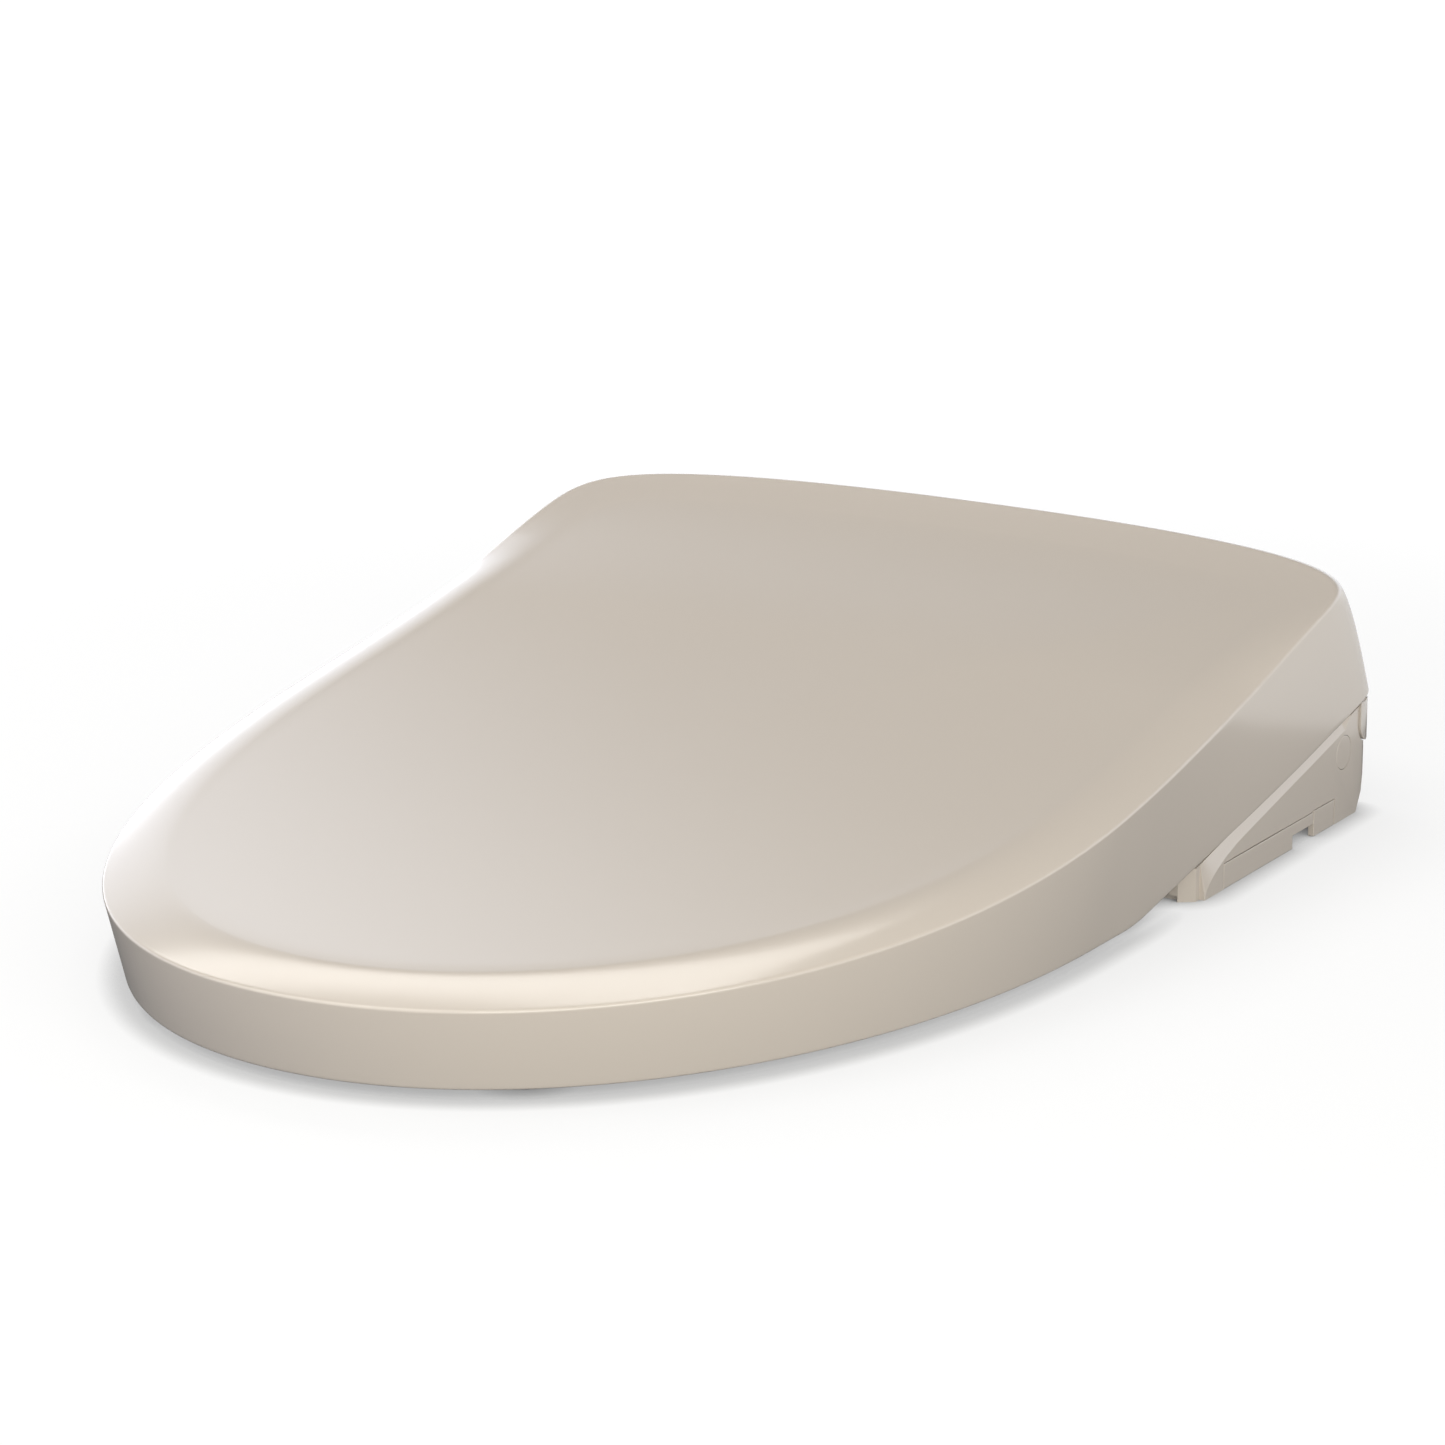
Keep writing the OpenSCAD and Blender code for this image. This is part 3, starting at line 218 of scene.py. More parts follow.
def sheet_grid(tree, rows):
    """A grid round the outline. Returns its mesh, the station and side of each point, and how
    far down the rows it lies."""
    grid = node(tree, "GeometryNodeMeshGrid", 1.0, 1.0, 2 * HALF + 1, rows + 1.0, out=None)
    index = node(tree, "GeometryNodeInputIndex")
    column = (index / (rows + 1.0)).op("FLOOR")
    down = (index - column * (rows + 1.0)) / rows
    half = HALF - (column - float(HALF)).op("ABSOLUTE")
    station = (clamp(half / NOSE) + clamp((half - NOSE) / SIDE)
               + clamp((half - NOSE - SIDE) / REAR))
    side = 1.0 - 2.0 * (column > float(HALF))
    return grid.outputs[0], station, side, down


def placed(tree, mesh, x, y, z):
    where = node(tree, "ShaderNodeCombineXYZ", x, y, z)
    return node(tree, "GeometryNodeSetPosition", mesh, ("Position", where))


def edge_height(y, front, rise, tip, length):
    """Height of the upper edge, which climbs from the tip to the rear."""
    return front + rise * ((y + tip).op("MAXIMUM", 0.0) / length) ** RISE_POWER


# ---- Geometry Nodes: the lid ----

LID_LOW, LID_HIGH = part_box("lid_shell")
# Where along the lid its upper edge and its skirt are widest, and where their rear corners start
EDGE_WIDEST, EDGE_CORNER = -0.192, -0.058
SKIRT_WIDEST, SKIRT_CORNER = -0.197, -0.010
# The skirt's foot is level at the front, bends at FOOT_BEND and climbs straight to the rear
FOOT_BEND, BEND_LENGTH, FOOT_SLOPE = -0.175, 0.010, 0.217

LID_SIZES = [
    ("Width", F, LID_HIGH[0] - LID_LOW[0]), ("Rear width", F, 0.373), ("Tip", F, -LID_LOW[1]),
    ("Back", F, 0.041), ("Skirt back", F, LID_HIGH[1]), ("Skirt gap", F, LID_LOW[2]),
    ("Front height", F, 0.0352), ("Rise", F, 0.076), ("Margin width", F, 0.025),
    ("Margin height", F, 0.006), ("Rear margin", F, 0.06), ("Rear fall", F, 0.005),
    ("Crown height", F, 0.003), ("Tuck front", F, 0.007), ("Tuck side", F, 0.0095),
    ("Wall", F, 0.003), ("Edge radius", F, 0.0012), ("Foot radius", F, 0.0008)]
LID_SPAN = [
    ("Rows", I, 10), ("Crown from", F, 1.0), ("Crown to", F, 1.0), ("Inset from", F, 0.0),
    ("Inset to", F, 0.0), ("Inset ease", F, 0.0), ("Fall from", F, 0.0), ("Fall to", F, 0.0),
    ("Foot from", F, 0.0), ("Foot to", F, 0.0), ("Fall ease", F, 0.0), ("Drop from", F, 0.0),
    ("Drop to", F, 0.0)]


def lid_span_group():
    """One strip of the lid's skin. Crown runs from the middle (0) to the margin (1), Inset from
    the margin to the edge, Fall and Foot down the wall, and Drop is the depth below the top."""
    tree, v, out = new_tree("lid_span", GEOMETRY, LID_SIZES + LID_SPAN, [("Mesh", G)])
    mesh, station, side, down = sheet_grid(tree, v["Rows"])
    inset = mix(v["Inset from"], v["Inset to"], eased(down, v["Inset ease"]))
    ex, ey = outline_at(tree, station, inset, width=v["Width"], widest=EDGE_WIDEST, tip=v["Tip"],
                        rear_width=v["Rear width"], corner=EDGE_CORNER, back=v["Back"], bow=2.2,
                        square=8.0)
    sx, sy = outline_at(tree, station, inset, width=v["Width"] - 2.0 * v["Tuck side"],
                        widest=SKIRT_WIDEST, tip=v["Tip"] - v["Tuck front"],
                        rear_width=v["Rear width"] - 3 * MM, corner=SKIRT_CORNER,
                        back=v["Skirt back"], bow=6.0, square=12.0)
    f = mix(v["Crown from"], v["Crown to"], down)
    x, y = ex * f, EDGE_WIDEST + (ey - EDGE_WIDEST) * f
    length = v["Tip"] + v["Skirt back"]
    power = mix(1.3, 2.0, ramp(ey, -0.430, -0.270))
    roll = mix(1.0, v["Rear margin"], ramp(ey, -0.085, 0.005))
    margin = 1.0 - roll * clamp(1.0 - inset / v["Margin width"]) ** power
    swell = v["Margin height"] - v["Rear fall"] * ramp(y, -0.100, 0.041)
    top = (edge_height(y, v["Front height"], v["Rise"], v["Tip"], length)
           + swell * margin + v["Crown height"] * (1.0 - f * f)
           - mix(v["Drop from"], v["Drop to"], down))
    past = (sy - FOOT_BEND) / BEND_LENGTH
    climb = (clamp(past / 2.0) ** 2.0) + (past - 2.0).op("MAXIMUM", 0.0)
    foot = v["Skirt gap"] + FOOT_SLOPE * BEND_LENGTH * climb
    tall = edge_height(ey, v["Front height"], v["Rise"], v["Tip"], length) - foot
    t = clamp(mix(v["Fall from"] / tall + v["Foot from"], v["Fall to"] / tall + v["Foot to"],
                  eased(down, v["Fall ease"])))
    tucked = mix(t, t ** 0.62, ramp(ey, -0.060, 0.020))
    put(tree, out.inputs["Mesh"], placed(tree, mesh, mix(x, sx, tucked) * side,
                                         mix(y, sy, tucked), mix(top, foot, t)))
    return tree


def joined(tree, out, parts, material):
    """Ends a tree: welds its strips into one smooth skin of this material."""
    join = tree.nodes.new("GeometryNodeJoinGeometry")
    for part in parts:
        tree.links.new(part, join.inputs[0])
    merged = node(tree, "GeometryNodeMergeByDistance", join.outputs[0], ("Distance", SKIN_WELD))
    smooth = node(tree, "GeometryNodeSetShadeSmooth", merged)
    real = node(tree, "GeometryNodeRealizeInstances", smooth)
    put(tree, out.inputs["Mesh"], node(tree, "GeometryNodeSetMaterial", real,
                                       ("Material", material)))


def lid_tree(material):
    tree, v, out = new_tree("lid", GEOMETRY, LID_SIZES, [("Mesh", G)])
    sizes = {name.replace(" ", "_").lower(): v[name] for name, _, _ in LID_SIZES}
    margin, wall, r, lip = v["Margin width"], v["Wall"], v["Edge radius"], v["Foot radius"]
    under = wall + 1 * MM
    spans = [
        dict(rows=28, crown_from=0.0, inset_from=margin, inset_to=margin),
        dict(rows=26, inset_from=margin, inset_to=r),
        dict(rows=8, inset_from=r, inset_ease=1.0, fall_to=r, fall_ease=-1.0),
        dict(rows=26, fall_from=r, fall_to=-1.0 * lip, foot_to=1.0),
        dict(rows=4, inset_to=lip, inset_ease=-1.0, fall_from=-1.0 * lip, foot_from=1.0,
             foot_to=1.0, fall_ease=1.0),
        dict(rows=2, inset_from=lip, inset_to=wall - lip, foot_from=1.0, foot_to=1.0),
        dict(rows=4, inset_from=wall - lip, inset_to=wall, inset_ease=1.0, foot_from=1.0,
             foot_to=1.0, fall_to=-1.0 * lip, fall_ease=-1.0),
        dict(rows=12, inset_from=wall, inset_to=wall, fall_from=-1.0 * lip, foot_from=1.0,
             drop_to=under),
        dict(rows=8, inset_from=wall, inset_to=margin, drop_from=under, drop_to=wall),
        dict(rows=8, crown_to=0.0, inset_from=margin, inset_to=margin, drop_from=wall,
             drop_to=wall)]
    span = lid_span_group()
    joined(tree, out, [use(tree, span, **sizes, **s).outputs[0] for s in spans], material)
    return tree


# ---- Geometry Nodes: the seat ----

SEAT_LOW, SEAT_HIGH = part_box("seat_top")
SEAT_SIZES = [
    ("Width", F, SEAT_HIGH[0] - SEAT_LOW[0]), ("Tip", F, -SEAT_LOW[1]),
    ("Rear width", F, 0.344), ("Corner", F, -0.170), ("Back", F, SEAT_HIGH[1]),
    ("Hole width", F, 0.210), ("Hole tip", F, 0.405), ("Hole rear width", F, 0.202),
    ("Hole corner", F, -0.235), ("Hole back", F, -0.152), ("Bumper height", F, SEAT_LOW[2]),
    ("Arch height", F, 0.033), ("Front height", F, 0.0332), ("Rise", F, 0.076),
    ("Dip", F, 0.013), ("Wall", F, 0.003), ("Foot radius", F, 0.0008)]
SEAT_SPAN = [
    ("Rows", I, 10), ("Ring from", F, 0.0), ("Ring to", F, 0.0), ("Inset from", F, 0.0),
    ("Inset to", F, 0.0), ("Inset ease", F, 0.0), ("Fall from", F, 0.0), ("Fall to", F, 0.0),
    ("Foot from", F, 0.0), ("Foot to", F, 0.0), ("Fall ease", F, 0.0), ("Sink from", F, 0.0),
    ("Sink to", F, 0.0), ("Lift from", F, 0.0), ("Lift to", F, 0.0)]
ARCH_FRONT, ARCH_SIDE = -0.190, 0.096   # where the arch over the nozzle starts
# How far the seat lies below its crown, from the outer edge (0) to the opening (1)
SEAT_PROFILE = [(0.0, 0.69), (0.012, 0.56), (0.04, 0.42), (0.09, 0.25), (0.14, 0.155),
                (0.22, 0.072), (0.3, 0.03), (0.4, 0.008), (0.5, 0.0), (0.6, 0.016), (0.7, 0.06),
                (0.78, 0.14), (0.86, 0.262), (0.92, 0.41), (0.96, 0.57), (0.985, 0.75), (1.0, 1.0)]


def seat_span_group():
    """One strip of the seat's skin. Ring runs from the outer edge (0) to the opening (1), Fall
    and Foot down the walls, Sink is the depth below the top and Lift the height over the floor."""
    tree, v, out = new_tree("seat_span", GEOMETRY, SEAT_SIZES + SEAT_SPAN, [("Mesh", G)])
    mesh, station, side, down = sheet_grid(tree, v["Rows"])
    inset = mix(v["Inset from"], v["Inset to"], eased(down, v["Inset ease"]))
    ox, oy = outline_at(tree, station, inset, width=v["Width"], widest=SKIRT_WIDEST,
                        tip=v["Tip"], rear_width=v["Rear width"], corner=v["Corner"],
                        back=v["Back"], bow=14.0, square=4.0)
    hx, hy = outline_at(tree, station, -1.0 * inset, width=v["Hole width"], widest=-0.280,
                        tip=v["Hole tip"], rear_width=v["Hole rear width"],
                        corner=v["Hole corner"], back=v["Hole back"], bow=2.4, square=2.3)
    ring = mix(v["Ring from"], v["Ring to"], ramp(down, 0.0, 1.0))
    x, y = mix(ox, hx, ring), mix(oy, hy, ring)
    curve = tree.nodes.new("ShaderNodeFloatCurve")
    points = curve.mapping.curves[0].points
    points[0].location, points[-1].location = SEAT_PROFILE[0], SEAT_PROFILE[-1]
    for place in SEAT_PROFILE[1:-1]:
        points.new(*place)
    curve.mapping.update()
    put(tree, curve.inputs["Value"], ring)
    # The crown follows the climb of the lid over it
    top = (edge_height(y, v["Front height"], v["Rise"], -LID_LOW[1], LID_HIGH[1] - LID_LOW[1])
           - v["Dip"] * Field(tree, curve.outputs[0]) - mix(v["Sink from"], v["Sink to"], down))
    arch = ramp(y, ARCH_FRONT, ARCH_FRONT + 0.030) * ramp(x, ARCH_SIDE, ARCH_SIDE - 0.022)
    floor = (v["Bumper height"] + v["Arch height"] * arch
             + mix(v["Lift from"], v["Lift to"], down))
    tall = top - floor
    t = clamp(mix(v["Fall from"] / tall + v["Foot from"], v["Fall to"] / tall + v["Foot to"],
                  eased(down, v["Fall ease"])))
    put(tree, out.inputs["Mesh"], placed(tree, mesh, x * side, y, mix(top, floor, t)))
    return tree


seat_span = seat_span_group()


def seat_tree(name, material, spans):
    tree, v, out = new_tree(name, GEOMETRY, SEAT_SIZES, [("Mesh", G)])
    sizes = {label.replace(" ", "_").lower(): v[label] for label, _, _ in SEAT_SIZES}
    joined(tree, out, [use(tree, seat_span, **sizes, **s).outputs[0] for s in spans(v)], material)
    return tree


def seat_shell_spans(v):
    """The seat's upper shell: both walls, from foot to underside, then its top and underside."""
    wall, lip = v["Wall"], v["Foot radius"]
    back = -1.0 * lip
    spans = []
    for ring in (0.0, 1.0):
        here = dict(ring_from=ring, ring_to=ring)
        spans += [
            dict(rows=16, fall_to=back, foot_to=1.0, **here),
            dict(rows=4, inset_to=lip, inset_ease=-1.0, fall_from=back, foot_from=1.0,
                 foot_to=1.0, fall_ease=1.0, **here),
            dict(rows=2, inset_from=lip, inset_to=wall - lip, foot_from=1.0, foot_to=1.0, **here),
            dict(rows=4, inset_from=wall - lip, inset_to=wall, inset_ease=1.0, foot_from=1.0,
                 foot_to=1.0, fall_to=back, fall_ease=-1.0, **here),
            dict(rows=6, inset_from=wall, inset_to=wall, fall_from=back, foot_from=1.0,
                 sink_to=wall, **here)]
    return spans + [dict(rows=44, ring_to=1.0),
                    dict(rows=12, ring_to=1.0, inset_from=wall, inset_to=wall,
                         sink_from=wall, sink_to=wall)]


def seat_plate_spans(v):
    """The plate that closes the seat from below, a hair inside the shell's walls."""
    inset, thick = v["Wall"] + 0.2 * MM, 2.5 * MM
    whole = dict(inset_from=inset, inset_to=inset, foot_from=1.0, foot_to=1.0)
    return [dict(rows=16, ring_to=1.0, **whole),
            dict(rows=16, ring_to=1.0, lift_from=thick, lift_to=thick, **whole),
            dict(rows=2, lift_to=thick, **whole),
            dict(rows=2, ring_from=1.0, ring_to=1.0, lift_to=thick, **whole)]


# ---- Geometry Nodes: turned parts and wheels, put wherever the object has one ----

def turned_span_group():
    """One strip of a part turned about Z, between two radii and heights. Round bows it into a
    quarter round (1 to an upright face, -1 to a level one), and Depth cuts a thread into it."""
    tree, v, out = new_tree("turned_span", GEOMETRY, [
        ("Rows", I, 1), ("Sides", I, 40), ("Radius from", F, 0.0), ("Radius to", F, 0.0),
        ("Height from", F, 0.0), ("Height to", F, 0.0), ("Round", F, 0.0), ("Pitch", F, 0.001),
        ("Depth", F, 0.0)], [("Mesh", G)])
    grid = node(tree, "GeometryNodeMeshGrid", 1.0, 1.0, v["Sides"] + 1.0, v["Rows"] + 1.0, out=None)
    index = node(tree, "GeometryNodeInputIndex")
    column = (index / (v["Rows"] + 1.0)).op("FLOOR")
    down = (index - column * (v["Rows"] + 1.0)) / v["Rows"]
    turn = column / v["Sides"]
    z = mix(v["Height from"], v["Height to"], eased(down, -1.0 * v["Round"]))
    groove = ((z / v["Pitch"] - turn).op("FRACT") * 2.0 - 1.0).op("ABSOLUTE")
    r = mix(v["Radius from"], v["Radius to"], eased(down, v["Round"])) - v["Depth"] * groove
    angle = turn * (2 * math.pi)
    put(tree, out.inputs["Mesh"], placed(tree, grid.outputs[0], r * angle.op("COSINE"),
                                         r * angle.op("SINE"), z))
    return tree


turned_span = turned_span_group()


def step(radius, height, **how):
    return dict(radius_to=radius, height_to=height, **how)


def turned(tree, start, *steps):
    """A closed turned shape, from a start (radius, height) through each step."""
    join = tree.nodes.new("GeometryNodeJoinGeometry")
    r, z = start
    for s in steps:
        span = use(tree, turned_span, radius_from=r, height_from=z, **s)
        tree.links.new(span.outputs[0], join.inputs[0])
        r, z = s["radius_to"], s["height_to"]
    return node(tree, "GeometryNodeMergeByDistance", join.outputs[0], ("Distance", TURNED_WELD))


def at_places(tree, v, out, part, material):
    """Puts the part at every point of the tree's Places, its Z axis along the point's facing."""
    facing = node(tree, "GeometryNodeInputNamedAttribute", ("Name", "facing"),
                  data_type="FLOAT_VECTOR")
    turn = node(tree, "FunctionNodeAlignRotationToVector", ("Vector", facing), axis="Z")
    smooth = node(tree, "GeometryNodeSetShadeSmooth", part)
    copies = node(tree, "GeometryNodeInstanceOnPoints", v["Places"], ("Instance", smooth),
                  ("Rotation", turn))
    real = node(tree, "GeometryNodeRealizeInstances", copies)
    put(tree, out.inputs["Mesh"], node(tree, "GeometryNodeSetMaterial", real,
                                       ("Material", material)))


def box_mesh(tree, x, y, z, across=2):
    size = node(tree, "ShaderNodeCombineXYZ", x, y, z)
    return node(tree, "GeometryNodeMeshCube", size, across)


def screw_tree(material):
    """A cross-head screw with its head's face at the foot of its Z axis."""
    tree, v, out = new_tree("screw", GEOMETRY, [
        ("Places", G, None), ("Radius", F, 0.0016), ("Head radius", F, 0.0036),
        ("Head height", F, 0.0021), ("Length", F, 0.014), ("Slot", F, 0.001),
        ("Slot depth", F, 0.0008), ("Pitch", F, 0.0011)], [("Mesh", G)])
    r, head, tall, length = v["Radius"], v["Head radius"], v["Head height"], v["Length"]
    edge = tall * 0.4
    body = turned(tree, (0.0, 0.0), step(head - edge, 0.0),
                  step(head, edge, round=1.0, rows=5), step(head, tall), step(r, tall),
                  step(r, length - r * 1.4, rows=84, pitch=v["Pitch"], depth=r * 0.2),
                  step(r * 0.25, length), step(0.0, length))
    cross = tree.nodes.new("GeometryNodeJoinGeometry")
    for x, y in ((head * 1.4, v["Slot"]), (v["Slot"], head * 1.4)):
        put(tree, cross.inputs[0], box_mesh(tree, x, y, v["Slot depth"] * 2.0))
    cut = node(tree, "GeometryNodeMeshBoolean", body, ("Mesh 2", cross.outputs[0]),
               operation="DIFFERENCE", solver="EXACT")
    at_places(tree, v, out, cut, material)
    return tree


def pad_tree(material):
    """A moulded rubber pad with a rounded, dimpled face and, if it has one, a narrower neck."""
    tree, v, out = new_tree("pad", GEOMETRY, [
        ("Places", G, None), ("Radius", F, 0.009), ("Height", F, 0.009),
        ("Neck radius", F, 0.009), ("Neck height", F, 0.0), ("Edge", F, 0.001),
        ("Dimple", F, 0.0005)], [("Mesh", G)])
    r, edge, neck = v["Radius"], v["Edge"], v["Neck radius"]
    shoulder = v["Height"] - v["Neck height"]
    body = turned(tree, (0.0, v["Dimple"]), step(r * 0.42, v["Dimple"]),
                  step(r * 0.48, 0.0, rows=3), step(r - edge, 0.0),
                  step(r, edge, round=1.0, rows=6), step(r, shoulder - edge * 0.5),
                  step(r - edge * 0.5, shoulder, round=-1.0, rows=4),
                  step(neck - edge * 0.5, shoulder), step(neck - edge * 0.5, v["Height"]),
                  step(0.0, v["Height"]))
    at_places(tree, v, out, body, material)
    return tree


def wheel_tree(material):
    """A blower wheel: a disc, a hub and an axle, with curved blades standing round its rim."""
    tree, v, out = new_tree("wheel", GEOMETRY, [
        ("Places", G, None), ("Radius", F, 0.015), ("Hub radius", F, 0.005),
        ("Height", F, 0.012), ("Axle radius", F, 0.002), ("Axle length", F, 0.0155),
        ("Disc", F, 0.001), ("Blades", I, 11), ("Blade thickness", F, 0.001),
        ("Lean", F, 35.0)], [("Mesh", G)])
    r, hub, disc, edge = v["Radius"], v["Hub radius"], v["Disc"], 0.4 * MM
    body = turned(tree, (0.0, 0.0), step(r - edge, 0.0), step(r, edge, round=1.0, rows=3),
                  step(r, disc), step(hub + edge, disc), step(hub, disc + edge, round=-1.0, rows=3),
                  step(hub, v["Height"] - edge),
                  step(hub - edge, v["Height"], round=-1.0, rows=3),
                  step(v["Axle radius"], v["Height"]), step(v["Axle radius"], v["Axle length"]),
                  step(0.0, v["Axle length"]))
    chord = r * 0.38
    flat = box_mesh(tree, chord, v["Blade thickness"], v["Height"] - disc * 0.5, 16)
    spot = tree.nodes.new("ShaderNodeSeparateXYZ")
    put(tree, spot.inputs[0], node(tree, "GeometryNodeInputPosition"))
    x, y, z = (Field(tree, s) for s in spot.outputs)
    along = x / chord + 0.5
    bowed = placed(tree, flat, x + chord * 0.5, y + chord * 0.5 * along * (1.0 - along),
                   z + v["Height"] * 0.5 + disc * 0.25)
    lean = node(tree, "ShaderNodeCombineXYZ", 0.0, 0.0, v["Lean"] * (math.pi / 180))
    root = node(tree, "ShaderNodeCombineXYZ", r * 0.6, 0.0, 0.0)
    blade = node(tree, "GeometryNodeTransform", bowed, ("Translation", root), ("Rotation", lean))
    hubs = node(tree, "GeometryNodeMeshLine", v["Blades"], ("Offset", (0.0, 0.0, 0.0)))
    index = node(tree, "GeometryNodeInputIndex")
    turn = node(tree, "ShaderNodeCombineXYZ", 0.0, 0.0, index / v["Blades"] * (2 * math.pi))
    ring = node(tree, "GeometryNodeInstanceOnPoints", hubs, ("Instance", blade), ("Rotation", turn))
    whole = tree.nodes.new("GeometryNodeJoinGeometry")
    put(tree, whole.inputs[0], body)
    put(tree, whole.inputs[0], node(tree, "GeometryNodeRealizeInstances", ring))
    at_places(tree, v, out, whole.outputs[0], material)
    return tree


def inlet_tree(material):
    """The water inlet: a plain spigot, then a wider threaded mouth, with a stepped bore."""
    tree, v, out = new_tree("inlet", GEOMETRY, [
        ("Places", G, None), ("Radius", F, 0.01048), ("Spigot radius", F, 0.00848),
        ("Spigot length", F, 0.014), ("Bore", F, 0.007), ("Port", F, 0.003),
        ("Port length", F, 0.006), ("Length", F, 0.03), ("Pitch", F, 0.0018)], [("Mesh", G)])
    r, spigot, length, edge = v["Radius"], v["Spigot radius"], v["Length"], 0.8 * MM
    body = turned(tree, (v["Port"], 0.0), step(spigot - edge, 0.0),
                  step(spigot, edge, round=1.0, rows=3), step(spigot, v["Spigot length"]),
                  step(r, v["Spigot length"]), step(r, v["Spigot length"] + 1.5 * MM),
                  step(r, length - edge, rows=72, pitch=v["Pitch"], depth=1.1 * MM),
                  step(r - edge * 1.4, length), step(v["Bore"] + 0.4 * MM, length),
                  step(v["Bore"], length - 0.4 * MM), step(v["Bore"], v["Port length"]),
                  step(v["Port"], v["Port length"]), step(v["Port"], 0.0))
    at_places(tree, v, out, body, material)
    return tree


# ---- Finished meshes ----

def add_object(name, mesh):
    piece = bpy.data.objects.new(name, mesh)
    bpy.context.scene.collection.objects.link(piece)
    return piece


def grown(name, tree, base=None, **sizes):
    """An object with the plain mesh that a Geometry Nodes tree makes."""
    piece = add_object(name, base or bpy.data.meshes.new(name))
    shape = piece.modifiers.new("shape", "NODES")
    shape.node_group = tree
    for item in tree.interface.items_tree:
        if item.in_out == "INPUT" and item.name in sizes:
            shape[item.identifier] = sizes[item.name]
    return baked(piece)


def baked(piece):
    """Turns what a piece's modifiers make into its plain mesh."""
    bpy.context.view_layer.update()
    deps = bpy.context.evaluated_depsgraph_get()
    mesh = bpy.data.meshes.new_from_object(piece.evaluated_get(deps), depsgraph=deps)
    piece.modifiers.clear()
    piece.data = mesh
    return piece


def faced_outward(piece, sharp):
    """Turns all faces outward, and keeps edges of more than sharp degrees crisp."""
    mesh = piece.data
    work = bmesh.new()
    work.from_mesh(mesh)
    bmesh.ops.recalc_face_normals(work, faces=work.faces)
    work.to_mesh(mesh)
    work.free()
    mesh.shade_smooth()
    mesh.set_sharp_from_angle(angle=math.radians(sharp))
    return piece


def inside_box(piece, *nodes):
    """Moves any vertex outside the box of these CAD nodes onto its face."""
    boxes = [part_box(n) for n in nodes]
    low = [min(b[0][k] for b in boxes) for k in range(3)]
    high = [max(b[1][k] for b in boxes) for k in range(3)]
    for vertex in piece.data.vertices:
        for k in range(3):
            vertex.co[k] = min(max(vertex.co[k], low[k]), high[k])
    return piece


BODY = {n: body for body, names in frame["record"]["behaviour"]["bodies"].items() for n in names}
SLOT = {part["node"]: part["material_slot"] for part in frame["record"]["subparts"]}


def stands_for(piece, *nodes, material=None):
    """piece takes the place of these CAD nodes: it joins their body, takes the material if one is
    given, and the nodes are hidden.
    """
    if material:
        piece.data.materials.clear()
        piece.data.materials.append(material)
    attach(piece, BODY[nodes[0]])
    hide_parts(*nodes)
    return piece


def softened(name, width, material, segments=2, limit=30.0, flat=0.7, crease=None):
    """The CAD node's own shape with its edges softened. Facets within flat degrees are joined,
    and an edge over crease degrees that is not softened stays crisp."""
    work = bmesh.new()
    work.from_mesh(frame["nodes"][name].data)
    bmesh.ops.remove_doubles(work, verts=work.verts, dist=CAD_WELD)
    bmesh.ops.dissolve_limit(work, angle_limit=math.radians(flat), verts=work.verts,
                             edges=work.edges)
    work.verts.index_update()
    mesh = bpy.data.meshes.new(name + "_soft")
    mesh.from_pydata([v.co[:] for v in work.verts], [],
                     [[v.index for v in f.verts] for f in work.faces])
    work.free()
    mesh.shade_smooth()
    piece = add_object(name + "_soft", mesh)
    bevel = piece.modifiers.new("softened", "BEVEL")
    bevel.width = width
    bevel.segments = segments
    bevel.limit_method = "ANGLE"
    bevel.angle_limit = math.radians(limit)
    bevel.harden_normals = not crease
    baked(piece)
    if crease:
        piece.data.set_sharp_from_angle(angle=math.radians(crease))
    inside_box(piece, name)
    return stands_for(piece, name, material=material)


def islands(name):
    """The boxes round a CAD node's separate bodies, each a low and a high corner."""
    work = bmesh.new()
    work.from_mesh(frame["nodes"][name].data)
    bmesh.ops.remove_doubles(work, verts=work.verts, dist=CAD_WELD)
    left, boxes = set(work.verts), []
    while left:
        group, edge = [], [left.pop()]
        while edge:
            vertex = edge.pop()
            group.append(vertex.co)
            for link in vertex.link_edges:
                other = link.other_vert(vertex)
                if other in left:
                    left.remove(other)
                    edge.append(other)
        boxes.append((Vector([min(c[k] for c in group) for k in range(3)]),
                      Vector([max(c[k] for c in group) for k in range(3)])))
    work.free()
    return boxes


def lie_of(low, high, inward):
    """The start, facing, diameter and length of the round body in a box. It faces up or to the
    rear, but along X it faces away from the object's middle, or towards it if inward."""
    size, middle = high - low, (low + high) / 2
    axis = min(range(3), key=lambda k: abs(size[(k + 1) % 3] - size[(k + 2) % 3]))
    facing = Vector((0, 0, 0))
    facing[axis] = 1.0
    if axis == 0:
        facing[0] = -1.0 if (middle[0] > 0) == inward else 1.0
    start = middle - facing * (size[axis] / 2)
    return start, facing, round(size[(axis + 1) % 3], 5), round(size[axis], 5)


